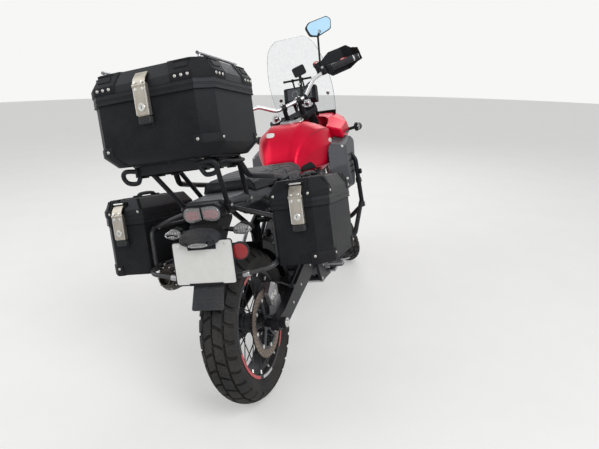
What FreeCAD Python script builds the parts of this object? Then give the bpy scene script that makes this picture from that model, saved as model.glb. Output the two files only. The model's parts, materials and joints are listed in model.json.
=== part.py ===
import FreeCAD, Part
import math
import os
from FreeCAD import Vector as V, Placement, Rotation

# Adventure touring motorcycle with three aluminium cases, leaning on its side stand.
# Millimetres. Each piece is drawn upright: x to the rider's left, y to the rear, z up,
# both axles half the wheelbase from y = 0 and the ground at z = 0. The steered pieces are
# then turned to the left stop and the whole machine is leaned onto its stand.

os.makedirs("parts", exist_ok=True)

# Chassis
WHEELBASE = 1540.0
RAKE = 28.0
TRAIL = 126.0
STEER_LOCK = 35.0
LEAN = 10.8
CLEARANCE = 205.0

# Wheels and tyres: radius, section width, crown radius, rim seat radius, rim width
FRONT_TYRE = dict(radius=329.0, width=112.0, crown=64.0, seat=241.3, rim=63.5)
REAR_TYRE = dict(radius=322.0, width=150.0, crown=86.0, seat=215.9, rim=101.6)
SPOKES_A_SIDE = 16
FRONT_DISC_R = 155.0
REAR_DISC_R = 141.0
DISC_T = 5.0
FRONT_DISC_X = 72.0
REAR_DISC_X = 78.0
AXLE_R = 12.0
BORE_GAP = 0.1
DISC_GAP = 3.0
TYRE_GAP = 18.0
MOVE_GAP = 7.0

# Fork
LEG_X = 105.0
SLIDER_R = 21.5
TUBE_R = 27.0
LOW_CLAMP = 640.0
TOP_CLAMP = 835.0
CLAMP_END = (LEG_X + 42, 18)
STEM_R = 15.0
HEAD_TUBE_R = 32.0
HOSE_R = 4.0

# Handlebar
BAR_Y = -300.0
BAR_Z = 1138.0
BAR_R = 11.0
GRIP_R = 17.0
BAR_END_X = 440.0

# Cases: half width or inner and outer x, rear face y, floor z, length, body and lid heights
TOP_CASE = dict(x0=-222.0, x1=222.0, rear=1150.0, floor=1088.0, length=372.0,
                body=198.0, lid=97.0)
SIDE_CASE = dict(x0=268.0, x1=464.0, rear=962.0, floor=642.0, length=382.0,
                 body=198.0, lid=98.0)
TOP_PITCH = 9.0
SIDE_PITCH = 9.5
CASE_WALL = 2.5
CASE_CHAMFER = 46.0
LID_WALL = 3.0
LID_GAP = 2.0
LID_SKIRT = 30.0
HINGE_R = 4.0
KNUCKLE = 9.0
PIN_GAP = 0.1

# Number plate
PLATE_W = 245.0
PLATE_H = 160.0
PLATE_T = 3.0


# Plain shapes

def box(x0, x1, y0, y1, z0, z1):
    return Part.makeBox(x1 - x0, y1 - y0, z1 - z0, V(x0, y0, z0))


def rod(a, b, r):
    a, b = V(*a), V(*b)
    return Part.makeCylinder(r, (b - a).Length, a, b - a)


def tube(a, b, r, hole):
    a, b = V(*a), V(*b)
    d = V(b - a).normalize()
    inner = Part.makeCylinder(hole, (b - a).Length + 2, a - d, b - a)
    return Part.makeCylinder(r, (b - a).Length, a, b - a).cut(inner)


def join(*shapes):
    s = shapes[0].fuse(list(shapes[1:])) if len(shapes) > 1 else shapes[0]
    return s.removeSplitter()


def mirrored(s):
    return s.mirror(V(0, 0, 0), V(1, 0, 0))


def bent_edges(points, bend, closed=False):
    """Lines through the points with every corner turned on an arc."""
    n = len(points)
    corners = range(n) if closed else range(1, n - 1)
    cut = {}
    for i in corners:
        a, b, c = points[i - 1], points[i], points[(i + 1) % n]
        u, w = V(a - b), V(c - b)
        room = 0.48 * min(u.Length, w.Length)
        u.normalize()
        w.normalize()
        half = u.getAngle(w) / 2
        if half > 1.5690:
            continue
        t = min(bend / math.tan(half), room)
        r = t * math.tan(half)
        m = V(u + w).normalize()
        cut[i] = (b + u * t, b + m * (r / math.sin(half) - r), b + w * t)
    edges = []
    last = cut[n - 1][2] if closed and n - 1 in cut else points[n - 1 if closed else 0]
    for i in range(0 if closed else 1, n):
        if i in cut:
            p, m, q = cut[i]
            if (p - last).Length > 1e-4:
                edges.append(Part.makeLine(last, p))
            edges.append(Part.Arc(p, m, q).toShape())
            last = q
        else:
            edges.append(Part.makeLine(last, points[i]))
            last = points[i]
    return edges


def pipe(points, r, bend=40.0):
    """Round bar along the points, bent on arcs."""
    pts = [V(*p) for p in points]
    path = Part.Wire(bent_edges(pts, bend))
    ring = Part.Wire(Part.makeCircle(r, pts[0], pts[1] - pts[0]))
    return path.makePipeShell([ring], True, False)


def outline(points, corner):
    """Closed wire through the points with rounded corners."""
    pts = [V(*p) for p in points]
    if corner <= 0:
        return Part.makePolygon(pts + [pts[0]])
    return Part.Wire(bent_edges(pts, corner, True))


def prism(points, way, corner=0.0):
    return Part.Face(outline(points, corner)).extrude(V(*way))


def side_plate(yz, x0, x1, corner=0.0):
    """Flat piece cut to an outline seen from the side."""
    return prism([(x0, y, z) for y, z in yz], (x1 - x0, 0, 0), corner)


def front_plate(xz, y0, y1, corner=0.0):
    return prism([(x, y0, z) for x, z in xz], (0, y1 - y0, 0), corner)


def plan_plate(xy, z0, z1, corner=0.0):
    return prism([(x, y, z0) for x, y in xy], (0, 0, z1 - z0), corner)


def loft(wires, ruled=False):
    return Part.makeLoft(wires, True, ruled)


def hull(sections, corner, ruled=False):
    """Body through upright cross sections; each lists half its outline from the top down."""
    wires = []
    for y, half in sections:
        right = [(-x, y, z) for x, z in reversed(half)]
        wires.append(outline([(x, y, z) for x, z in half] + right, corner))
    return loft(wires, ruled)


def pillow(inner, outer, x0, x1, corner):
    """Side panel that narrows from its inner outline to its outer one."""
    return loft([outline([(x0, y, z) for y, z in inner], corner),
                 outline([(x1, y, z) for y, z in outer], corner)], True)


def spin_body(profile, y, z, angle=360.0, start=0.0):
    """Solid turned about an axle from (x, radius) points; arcs are given as three points."""
    edges = []
    for item in profile:
        pts = [V(x, y, z + r) for x, r in item]
        edges.append(Part.makeLine(*pts) if len(pts) == 2 else Part.Arc(*pts).toShape())
    face = Part.Face(Part.Wire(edges))
    if start:
        face.rotate(V(0, y, z), V(1, 0, 0), start)
    return face.revolve(V(0, y, z), V(1, 0, 0), angle)


def lines(points):
    """Straight profile steps through the points, closed."""
    return [(a, b) for a, b in zip(points, points[1:] + points[:1])]


# Frames of reference

FRONT_Y = -WHEELBASE / 2
REAR_Y = WHEELBASE / 2
FRONT_Z = FRONT_TYRE["radius"]
REAR_Z = REAR_TYRE["radius"]
SR, CR = math.sin(math.radians(RAKE)), math.cos(math.radians(RAKE))
AXIS_FOOT = V(0, FRONT_Y - TRAIL, 0)
AXIS_UP = V(0, SR, CR)


def leg_point(x, n, s):
    """Point in the fork: x across, n ahead of the leg's axis, s up the leg from the axle."""
    return (x, FRONT_Y + s * SR - n * CR, FRONT_Z + s * CR + n * SR)


AXIS_N = -(V(0, FRONT_Y, FRONT_Z) - AXIS_FOOT).cross(AXIS_UP).Length
STEER_SWEEP = math.hypot(CLAMP_END[0], CLAMP_END[1] - AXIS_N)


def fork_box(x0, x1, n0, n1, s0, s1, corner=0.0):
    pts = [leg_point(x0, n, s) for n, s in ((n0, s0), (n1, s0), (n1, s1), (n0, s1))]
    return prism(pts, (x1 - x0, 0, 0), corner)


def pitched(shape, case, angle):
    return shape.rotate(V(0, case["rear"], case["floor"]), V(1, 0, 0), angle)


# Wheels

def tyre(t, y, z):
    R, half, crown, seat, bead = t["radius"], t["width"] / 2, t["crown"], t["seat"], t["rim"] / 2
    xs = half - 4
    a = math.asin(xs / crown)
    rs = R - crown + crown * math.cos(a)
    low = (bead + 6, seat + 15)
    mid = (half, (rs + low[1]) / 2 + 2)
    right = [((bead, seat), (bead, seat + 11)), ((bead, seat + 11), low), (low, mid, (xs, rs))]
    left = [tuple((-x, r) for x, r in reversed(e)) for e in reversed(right)]
    crown_arc = [((xs, rs), (0, R), (-xs, rs))]
    inner = [((-bead, seat), (16 - bead, seat)), ((16 - bead, seat), (20 - bead, seat + 6)),
             ((20 - bead, seat + 6), (bead - 20, seat + 6)),
             ((bead - 20, seat + 6), (bead - 16, seat)), ((bead - 16, seat), (bead, seat))]
    return spin_body(right + crown_arc + left + inner, y, z)


def wheel(t, y, z, hub_r, hub_x0, hub_x1, flange_x):
    """Wire wheel: rim, crossed spokes and hub with its bore."""
    seat, bead = t["seat"], t["rim"] / 2
    half = [(bead + 5, seat + 10), (bead, seat + 10), (bead, seat), (bead - 16, seat),
            (bead - 24, seat - 14)]
    under = [(bead - 28, seat - 20), (bead - 18, seat - 6), (bead + 5, seat - 6)]
    pts = half + [(-x, r) for x, r in reversed(half)] + [(-x, r) for x, r in reversed(under)] + under
    rim = spin_body(lines(pts), y, z)
    hub = rod((hub_x0, y, z), (hub_x1, y, z), hub_r * 0.62)
    flanges = [rod((s * flange_x - 4, y, z), (s * flange_x + 4, y, z), hub_r) for s in (-1, 1)]
    spokes = []
    step = 360.0 / SPOKES_A_SIDE
    for side in (-1, 1):
        for i in range(SPOKES_A_SIDE):
            a = math.radians(i * step + (step / 2 if side > 0 else 0))
            lead = math.radians(28 if i % 2 else -28)
            r0, r1 = hub_r - 7, seat - 4
            p = (side * flange_x, y + r0 * math.sin(a + lead), z + r0 * math.cos(a + lead))
            q = (side * (bead - 4), y + r1 * math.sin(a), z + r1 * math.cos(a))
            spokes.append(rod(p, q, 2.2))
    body = join(rim, hub, *(flanges + spokes))
    return body.cut(rod((hub_x0 - 5, y, z), (hub_x1 + 5, y, z), AXLE_R + BORE_GAP))


def disc(x, y, z, r, hub_x):
    """Brake disc with its carrier arms, from the hub end to the disc."""
    ring = tube((x - DISC_T / 2, y, z), (x + DISC_T / 2, y, z), r, r - 46)
    arms = []
    for i in range(5):
        a = math.radians(i * 72)
        arms.append(box(x - DISC_T / 2, x + DISC_T / 2, y - 11, y + 11, z + 20, z + r - 38)
                    .rotate(V(0, y, z), V(1, 0, 0), i * 72))
    boss = tube((min(hub_x, x - DISC_T / 2), y, z), (max(hub_x, x + DISC_T / 2), y, z), 32,
                AXLE_R + BORE_GAP)
    return join(ring, boss, *arms)


parts = {}
steered = {}

front_disc_l = disc(FRONT_DISC_X, FRONT_Y, FRONT_Z, FRONT_DISC_R, 60)
steered["front_tyre"] = tyre(FRONT_TYRE, FRONT_Y, FRONT_Z)
steered["front_wheel"] = join(wheel(FRONT_TYRE, FRONT_Y, FRONT_Z, 46, -66, 66, 40),
                              front_disc_l, mirrored(front_disc_l))
parts["rear_tyre"] = tyre(REAR_TYRE, REAR_Y, REAR_Z)
parts["rear_wheel"] = join(wheel(REAR_TYRE, REAR_Y, REAR_Z, 62, -72, 52, 38),
                           disc(-REAR_DISC_X, REAR_Y, REAR_Z, REAR_DISC_R, -60))

# Fork: legs, clamps, stem and front axle

leg = join(
    rod(leg_point(LEG_X, 0, -8), leg_point(LEG_X, 0, 470), SLIDER_R),
    rod(leg_point(LEG_X, 0, 430), leg_point(LEG_X, 0, TOP_CLAMP + 26), TUBE_R),
    fork_box(LEG_X - 22, LEG_X + 22, -24, 24, -30, 62, 8))
axle_ends = [rod((-LEG_X - 30, FRONT_Y, FRONT_Z), (LEG_X + 30, FRONT_Y, FRONT_Z), AXLE_R)]


def clamp_plate(s, t):
    pts = [CLAMP_END, (LEG_X + 30, 40), (LEG_X - 30, 40), (60, 10), (-60, 10),
           (30 - LEG_X, 40), (-30 - LEG_X, 40), (-CLAMP_END[0], CLAMP_END[1]), (-LEG_X - 38, -30),
           (-60, AXIS_N - 28), (60, AXIS_N - 28), (LEG_X + 38, -30)]
    return prism([leg_point(x, n, s - t / 2) for x, n in pts], (0, SR * t, CR * t), 8)


stem = rod(leg_point(0, AXIS_N, LOW_CLAMP - 22), leg_point(0, AXIS_N, TOP_CLAMP + 22), STEM_R)
risers = [rod(leg_point(x, -30, TOP_CLAMP + 8), (x, BAR_Y, BAR_Z - 4), 13) for x in (-48, 48)]
bar_clamps = [rod((x - 14, BAR_Y, BAR_Z), (x + 14, BAR_Y, BAR_Z), 22) for x in (-48, 48)]
steered["fork"] = join(leg, mirrored(leg), clamp_plate(LOW_CLAMP, 40), clamp_plate(TOP_CLAMP, 28),
                       stem, *(axle_ends + risers + bar_clamps))

# Handlebar with grips; the left half is drawn and mirrored

BAR_PATH = [(0, BAR_Y, BAR_Z), (92, BAR_Y, BAR_Z), (178, BAR_Y + 12, BAR_Z + 68),
            (262, BAR_Y + 30, BAR_Z + 78), (BAR_END_X, BAR_Y + 74, BAR_Z + 70)]


def bar_point(x, up=0.0, ahead=0.0):
    """Point beside the bar's straight grip part, up and ahead of its centre line."""
    (x0, y0, z0), (x1, y1, z1) = BAR_PATH[3], BAR_PATH[4]
    k = (x - x0) / (x1 - x0)
    return (x, y0 + k * (y1 - y0) - ahead, z0 + k * (z1 - z0) + up)


half_bar = pipe(BAR_PATH, BAR_R, 60)
grip = rod(bar_point(BAR_END_X - 150), bar_point(BAR_END_X - 16), GRIP_R)
weight = rod(bar_point(BAR_END_X - 12), bar_point(BAR_END_X + 12), GRIP_R - 1)
half_bar = join(half_bar, grip, weight)
steered["handlebar"] = join(half_bar, mirrored(half_bar))

# Levers, switch blocks and the round fluid reservoir


def controls(side):
    perch = join(rod(bar_point(232), bar_point(262), 19), rod(bar_point(266), bar_point(288), 20))
    arm = rod(bar_point(247), bar_point(250, 0, 40), 9)
    lever = pipe([bar_point(246, 0, 38), bar_point(290, 2, 62), bar_point(BAR_END_X - 22, -6, 50)],
                 5, 20)
    pieces = [perch, arm, lever]
    if side == "right":
        pieces.append(rod(bar_point(240, 12, 26), bar_point(240, 54, 34), 23))
    return join(*pieces)


steered["controls"] = Part.makeCompound([controls("left"), mirrored(controls("right"))])

# Hand guards

GUARD_PLAN = [(BAR_END_X + 20, 22), (BAR_END_X + 10, -48), (BAR_END_X - 36, -92), (300, -104),
              (262, -96), (262, -91), (300, -99), (BAR_END_X - 38, -87), (BAR_END_X + 5, -45),
              (BAR_END_X + 15, 22)]
GUARD_FACE = [(256, 10), (262, 62), (330, 92), (430, 84), (BAR_END_X + 26, 30),
              (BAR_END_X + 26, -22), (BAR_END_X - 30, -46), (300, -40)]
guard = plan_plate([(x, BAR_PATH[4][1] + y) for x, y in GUARD_PLAN], BAR_Z, BAR_Z + 200)
guard = guard.common(front_plate([(x, BAR_Z + 72 + z) for x, z in GUARD_FACE],
                                 BAR_Y - 200, BAR_Y + 200, 14))
guard_arm = join(rod(bar_point(BAR_END_X + 12), bar_point(BAR_END_X + 20, 2, -4), 9),
                 pipe([bar_point(222), bar_point(226, 6, 60), (275, BAR_PATH[4][1] - 96, BAR_Z + 90)],
                      6, 12))
guard = join(guard, guard_arm)
steered["hand_guards"] = Part.makeCompound([guard, mirrored(guard)])

# Mirrors

MIRROR_Z = 1446.0
mirror_stem = pipe([bar_point(246, 8), bar_point(252, 60, 6), (306, BAR_Y + 6, MIRROR_Z - 46),
                    (330, BAR_Y + 2, MIRROR_Z - 20)], 6, 25)
mirror_head = prism([(268, BAR_Y - 22, MIRROR_Z - 26), (262, BAR_Y - 22, MIRROR_Z + 26),
                     (290, BAR_Y - 22, MIRROR_Z + 44), (400, BAR_Y - 22, MIRROR_Z + 36),
                     (418, BAR_Y - 22, MIRROR_Z + 12), (396, BAR_Y - 22, MIRROR_Z - 38),
                     (310, BAR_Y - 22, MIRROR_Z - 46)], (0, 28, 0), 16)
mirror = join(mirror_stem, mirror_head)
steered["mirrors"] = Part.makeCompound([mirror, mirrored(mirror)])

# Front mudguard: a hoop over the tyre with a stay to each leg

FENDER_IN = FRONT_TYRE["radius"] + TYRE_GAP
FENDER_HALF = FRONT_TYRE["width"] / 2 + 10
fender = spin_body(lines([(-FENDER_HALF, FENDER_IN - 26), (-FENDER_HALF, FENDER_IN),
                          (-FENDER_HALF + 16, FENDER_IN + 4), (FENDER_HALF - 16, FENDER_IN + 4),
                          (FENDER_HALF, FENDER_IN), (FENDER_HALF, FENDER_IN - 26),
                          (FENDER_HALF - 3, FENDER_IN - 26), (FENDER_HALF - 3, FENDER_IN - 3),
                          (FENDER_HALF - 17, FENDER_IN), (-FENDER_HALF + 17, FENDER_IN),
                          (-FENDER_HALF + 3, FENDER_IN - 3), (-FENDER_HALF + 3, FENDER_IN - 26)]),
                   FRONT_Y, FRONT_Z, 112, -82)
stay = fork_box(FENDER_HALF - 2, LEG_X - 12, -26, 20, FENDER_IN - 60, FENDER_IN - 4, 6)
steered["front_fender"] = join(fender, stay, mirrored(stay))

# Front brake calipers behind the legs

caliper = fork_box(FRONT_DISC_X - 20, FRONT_DISC_X + 20, -92, -18, 58, 150, 14)


def disc_slot(x, y, z, r):
    """Room for a disc: a gap each side and over its edge."""
    t = DISC_T / 2 + DISC_GAP
    return rod((x - t, y, z), (x + t, y, z), r + DISC_GAP + 2)


caliper = caliper.cut(disc_slot(FRONT_DISC_X, FRONT_Y, FRONT_Z, FRONT_DISC_R))
steered["front_calipers"] = Part.makeCompound([caliper, mirrored(caliper)])

# Front brake hoses: reservoir to the splitter on the lower clamp, and on to each caliper
# (across, ahead of the leg's axis, up the leg)

SUPPLY = [(-242, 1, 1004), (-150, 40, 960), (-70, 62, 890), (-30, 60, 780), (0, 34, 655)]
TO_CALIPER = [(10, 25, 640), (70, 46, 590), (78, 20, 480), (76, -40, 420), (76, -44, 250),
              (FRONT_DISC_X, -55, 148)]
supply = pipe([leg_point(*p) for p in SUPPLY], HOSE_R, 40)
drop = pipe([leg_point(*p) for p in TO_CALIPER], HOSE_R, 40)
splitter = fork_box(-16, 16, 8, 36, LOW_CLAMP - 14, LOW_CLAMP + 18, 4)
steered["front_hoses"] = join(splitter, supply, drop, mirrored(drop))

# Frame: head tube, spars, front tubes, pivot plates and the rear rails

PIVOT_Y, PIVOT_Z = 195.0, 400.0
PLATE_X = 152.0
STAND_PIVOT = V(180, -60, 250)
STAND_AXIS = V(math.cos(math.radians(25)), 0, math.sin(math.radians(25)))
STAND_PIN_R = 8.0
STAND_REACH = 122.0
head = rod(leg_point(0, AXIS_N, LOW_CLAMP + 25), leg_point(0, AXIS_N, TOP_CLAMP - 19), HEAD_TUBE_R)
head_hole = rod(leg_point(0, AXIS_N, LOW_CLAMP), leg_point(0, AXIS_N, TOP_CLAMP), STEM_R + 1)
hy, hz = leg_point(0, AXIS_N, TOP_CLAMP - 60)[1:]
ly, lz = leg_point(0, AXIS_N, LOW_CLAMP + 50)[1:]
RAIL_FRONT, RAIL_REAR = (104, 420, 800), (84, 900, 852)
FRAME_TUBES = [
    ([(14, hy + 20, hz), (46, hy + 70, hz - 6), (128, -180, 800), (148, 40, 690),
      (158, 170, 560), (158, 190, 470)], 17, 60),
    ([(12, ly + 14, lz), (40, ly + 52, lz - 30), (96, -300, 560), (96, -262, 470)], 15, 60),
    ([(152, 60, 680), (118, 150, 740), RAIL_FRONT, RAIL_REAR], 13, 70),
    ([(158, 190, 520), (128, 330, 640), (98, 600, 818)], 12, 60),
]


def rail_point(y, up=0.0):
    """Point on the rear rail's centre line."""
    k = (y - RAIL_FRONT[1]) / (RAIL_REAR[1] - RAIL_FRONT[1])
    return (RAIL_FRONT[0] + k * (RAIL_REAR[0] - RAIL_FRONT[0]), y,
            RAIL_FRONT[2] + k * (RAIL_REAR[2] - RAIL_FRONT[2]) + up)


frame_bits = []
for path, r, bend in FRAME_TUBES:
    t = pipe(path, r, bend)
    frame_bits += [t, mirrored(t)]
pivot_plate = side_plate([(120, 640), (222, 600), (240, 400), (214, 262), (40, 240), (20, 275),
                          (128, 330)], PLATE_X, PLATE_X + 14, 16)
stand_lug = join(side_plate([(120, 276), (110, 228), (-70, 222), (-88, 248), (-70, 276)],
                            PLATE_X, PLATE_X + 12, 14),
                 rod(STAND_PIVOT - STAND_AXIS * 16, STAND_PIVOT + STAND_AXIS * 20, STAND_PIN_R))
cross = [rod((-PLATE_X - 10, y, z), (PLATE_X + 10, y, z), r)
         for y, z, r in ((PIVOT_Y, PIVOT_Z, 14), (150, 600, 14), (200, 275, 12))]
rail_cross = [rod((-x, y, z), (x, y, z), 10) for x, y, z in ((104, 420, 800), (90, 780, 840))]
gusset = side_plate([(hy + 10, hz + 16), (hy + 74, hz), (ly + 66, lz - 20), (ly + 6, lz - 12)],
                    -14, 14)
parts["frame"] = join(head, gusset, pivot_plate, mirrored(pivot_plate), stand_lug,
                      *(frame_bits + cross + rail_cross)).cut(head_hole)

# Engine: crankcase, inclined cylinders, head and side covers

crankcase = side_plate([(-246, 330), (-252, 440), (-206, 540), (40, 560), (140, 500), (150, 380),
                        (120, 262), (-40, 236), (-190, 246)], -140, 140, 18)
crankcase = crankcase.cut(box(84, 150, -260, 130, 225, 345))
cylinders = side_plate([(-222, 480), (-270, 664), (-92, 716), (-30, 530)], -112, 112, 6)
cyl_head = side_plate([(-276, 652), (-306, 748), (-268, 792), (-118, 812), (-84, 700)],
                      -132, 132, 14)
COVERS = [(-1, 60, 400, 92, 46), (-1, 60, 400, 74, 56), (-1, -110, 400, 58, 32), (-1, -110, 400, 40, 42),
          (-1, -190, 318, 34, 30), (1, -70, 430, 84, 40), (1, -70, 430, 62, 50), (1, 80, 440, 52, 30),
          (1, -196, 400, 40, 26)]
COVER_BASE = 140
covers = [rod((side * (COVER_BASE - 4), y, z), (side * (COVER_BASE + t), y, z), r)
          for side, y, z, r, t in COVERS]
oil_filter = rod((0, -240, 330), (0, -306, 330), 36)
fins = [side_plate([(-226 + k * 5, 500 + k * 26), (-228 + k * 5, 510 + k * 26), (-40 + k * 5, 558 + k * 26),
                    (-38 + k * 5, 548 + k * 26)], -118, 118) for k in range(4)]
parts["engine"] = join(crankcase, cylinders, cyl_head, oil_filter, *(covers + fins))

# Radiator on the left flank, its frame and tanks

RADIATOR = dict(x0=166.0, x1=196.0, y0=-236.0, y1=-66.0, z0=560.0, z1=742.0)
SLAT_PITCH = 14.0
r = RADIATOR
slats = [box(r["x1"] - 1, r["x1"] + 4, r["y0"] + 6, r["y1"] - 6, z, z + 4)
         for z in (r["z0"] + 12 + SLAT_PITCH * i
                   for i in range(int((r["z1"] - r["z0"] - 24) / SLAT_PITCH) + 1))]
top_hose = pipe([(r["x0"] + 14, r["y0"] + 20, r["z1"] - 8), (r["x0"] + 6, r["y0"] + 10, r["z1"] + 34),
                 (110, -240, r["z1"] + 36)], 15, 30)
low_hose = pipe([(r["x0"] + 14, r["y1"] - 20, r["z0"] + 8), (r["x0"] + 2, r["y1"] - 10, r["z0"] - 30),
                 (120, -60, r["z0"] - 40)], 15, 30)
stays = [box(132, r["x0"] + 2, -200, -180, z, z + 20) for z in (600, 690)]
parts["radiator"] = join(box(r["x0"], r["x1"], r["y0"], r["y1"], r["z0"], r["z1"]), top_hose, low_hose,
                         *(slats + stays))

# Skid plate

SKID_X = 128.0
SKID_T = 5.0
low = CLEARANCE + 2
skid = side_plate([(-318, 452), (-300, 300), (-206, low), (90, low), (120, low + 27), (112, low + 31),
                   (88, low + SKID_T), (-203, low + SKID_T), (-295, 303), (-313, 452)], -SKID_X, SKID_X)
skid_posts = [rod((x, y, low + 2), (x, y, 250), 12) for x in (-70, 70) for y in (-150, 60)]
skid_walls = [side_plate([(-300, 300), (-206, low), (90, low), (100, low + 23), (-190, low + 27),
                          (-262, 318)], s * SKID_X - 2, s * SKID_X + 2) for s in (-1, 1)]
parts["skid_plate"] = join(skid, *(skid_posts + skid_walls))

# Exhaust: two header pipes, the link pipe and the silencer, all on the left

PIPE_R = 21.0
SIL_A, SIL_B = (198, 500, 520), (206, 940, 612)
header_a = pipe([(62, -286, 716), (62, -352, 704), (66, -366, 560), (86, -346, 330),
                 (112, -262, 284), (112, 250, 284), (202, 352, 300), (204, 436, 452), SIL_A],
                PIPE_R, 60)
header_b = pipe([(-60, -286, 716), (-60, -352, 704), (-52, -366, 560), (-10, -350, 340),
                 (66, -308, 276), (112, -220, 284)], PIPE_R, 50)
SILENCER_R = 50.0
sil_way = V(V(*SIL_B) - V(*SIL_A)).normalize()
cone = Part.makeCone(PIPE_R + 2, SILENCER_R, 60, V(*SIL_A) - sil_way * 50, sil_way)
end_cap = Part.makeCone(SILENCER_R, SILENCER_R - 14, 22, V(*SIL_B) - sil_way * 2, sil_way)
outlet = rod(V(*SIL_B) + sil_way * 8, V(*SIL_B) + sil_way * 34, 26)
outlet_bore = rod(V(*SIL_B) + sil_way * 10, V(*SIL_B) + sil_way * 40, 22)
silencer = join(cone, rod(SIL_A, SIL_B, SILENCER_R), end_cap, outlet).cut(outlet_bore)
parts["exhaust"] = join(header_a, header_b, silencer)

# Swingarm with the closed drive on its left leg and the rear axle

arm_r = side_plate([(PIVOT_Y - 20, 442), (330, 436), (700, 352), (800, 346), (812, 300),
                    (690, 286), (PIVOT_Y - 24, 356)], -148, -112, 16)
drive = rod((124, PIVOT_Y, PIVOT_Z), (112, 712, 332), 40)
final = join(rod((60, REAR_Y, REAR_Z), (142, REAR_Y, REAR_Z), 80),
             rod((140, REAR_Y, REAR_Z), (154, REAR_Y, REAR_Z), 52))
bridge = side_plate([(PIVOT_Y - 34, 440), (350, 430), (372, 396), (350, 356), (PIVOT_Y - 34, 360)],
                    -130, 130, 16)
rear_axle = rod((-172, REAR_Y, REAR_Z), (70, REAR_Y, REAR_Z), AXLE_R)
nut = prism([(-172, REAR_Y + 22 * math.cos(math.radians(a)), REAR_Z + 22 * math.sin(math.radians(a)))
             for a in range(0, 360, 60)], (24, 0, 0))
spacer = rod((-114, REAR_Y, REAR_Z), (-REAR_DISC_X - 8, REAR_Y, REAR_Z), 19)
parts["swingarm"] = join(arm_r, drive, final, bridge, rear_axle, nut, spacer)

# Rear shock absorber

parts["rear_shock"] = join(rod((0, 290, 424), (0, 236, 700), 34), rod((0, 240, 690), (0, 226, 752), 16),
                           rod((-100, 228, 746), (100, 228, 746), 12))

# Rear brake caliper and its bracket

cal = side_plate([(640, 372), (636, 440), (694, 474), (742, 440), (726, 372)],
                 -REAR_DISC_X - 24, -REAR_DISC_X + 22, 12)
cal_slot = disc_slot(-REAR_DISC_X, REAR_Y, REAR_Z, REAR_DISC_R)
cal_arm = side_plate([(650, 330), (652, 400), (720, 400), (740, 336)], -113, -REAR_DISC_X - 10, 6)
parts["rear_caliper"] = join(cal.cut(cal_slot), cal_arm.cut(cal_slot))
parts["rear_hoses"] = pipe([(-94, 664, 456), (-114, 620, 436), (-130, 556, 390), (-130, 350, 437),
                            (-142, 250, 452), (-PLATE_X + HOSE_R, 196, 470)], HOSE_R, 30)

# Rear mudguards: the hugger over the tyre and the tail with the plate bracket and flap

HUG_IN = REAR_TYRE["radius"] + TYRE_GAP
HUG_HALF = REAR_TYRE["width"] / 2 + 10
hugger = spin_body(lines([(-HUG_HALF, HUG_IN - 30), (-HUG_HALF, HUG_IN + 3), (HUG_HALF, HUG_IN + 3),
                          (HUG_HALF, HUG_IN - 30), (HUG_HALF - 3, HUG_IN - 30), (HUG_HALF - 3, HUG_IN),
                          (3 - HUG_HALF, HUG_IN), (3 - HUG_HALF, HUG_IN - 30)]),
                   REAR_Y, REAR_Z, 84, 20)
hug_stays = [side_plate([(420, 330), (452, 400), (520, 420), (560, 370), (470, 330)],
                        s * (HUG_HALF - 3), s * 116) for s in (-1, 1)]
PLATE_Y, PLATE_Z, PLATE_TILT = 1004.0, 688.0, 10.0
holder = side_plate([(800, 812), (930, 826), (1000, 770), (PLATE_Y - 10, 610), (PLATE_Y - 18, 600),
                     (930, 720), (870, 770)], -58, 58, 10)
flap = side_plate([(986, 652), (996, 652), (1004, 612), (1054, 522), (1050, 519), (996, 604)],
                  -60, 60)
parts["rear_mudguards"] = Part.makeCompound([join(hugger, *hug_stays), join(holder, flap)])
parts["number_plate"] = plan_plate([(-PLATE_W / 2, 0), (PLATE_W / 2, 0), (PLATE_W / 2, PLATE_H),
                                    (-PLATE_W / 2, PLATE_H)], 0, PLATE_T, 12)
parts["number_plate"].translate(V(0, -PLATE_H / 2, 0))
parts["number_plate"].rotate(V(0, 0, 0), V(1, 0, 0), 90 + PLATE_TILT)
parts["number_plate"].translate(V(0, PLATE_Y + PLATE_T, PLATE_Z))

# Fuel tank

TANK = [(-292, [(104, 1026), (194, 972), (204, 900), (188, 806), (140, 766)]),
        (-200, [(98, 1040), (184, 986), (204, 900), (190, 796), (130, 756)]),
        (-90, [(84, 1030), (150, 980), (172, 900), (152, 806), (100, 762)]),
        (14, [(62, 950), (104, 924), (118, 868), (112, 812), (84, 784)]),
        (62, [(48, 872), (80, 862), (92, 842), (90, 818), (70, 800)])]
filler = rod((0, -196, 1030), (0, -190, 1052), 36)
steer_room = rod(leg_point(0, AXIS_N, LOW_CLAMP - 60), leg_point(0, AXIS_N, TOP_CLAMP + 120),
                 STEER_SWEEP - MOVE_GAP)
parts["fuel_tank"] = join(hull(TANK, 24), filler).cut(steer_room)

# Seats

parts["rider_seat"] = hull([(-4, [(56, 868), (78, 846), (84, 806)]), (90, [(84, 868), (116, 846), (122, 806)]),
                            (230, [(112, 862), (146, 842), (150, 806)]),
                            (340, [(112, 872), (142, 852), (146, 812)])], 14, True)
parts["pillion_seat"] = hull([(330, [(100, 906), (136, 880), (140, 836)]),
                              (480, [(112, 914), (142, 892), (146, 846)]),
                              (690, [(96, 922), (120, 904), (126, 866)])], 14, True)

# Side panels and tail

side_panel = pillow([(-20, 640), (10, 806), (350, 812), (560, 850), (600, 810), (330, 680), (160, 620)],
                    [(10, 680), (30, 790), (340, 800), (520, 830), (540, 812), (320, 720), (150, 660)],
                    118, 152, 16)
tail = hull([(560, [(112, 868), (126, 850), (120, 812), (90, 800)]),
             (760, [(96, 880), (108, 866), (104, 828), (76, 816)]),
             (906, [(72, 892), (84, 876), (80, 834), (56, 824)])], 8, True)
parts["side_panels"] = join(side_panel, mirrored(side_panel), tail)

# Grey shrouds beside the tank

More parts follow.
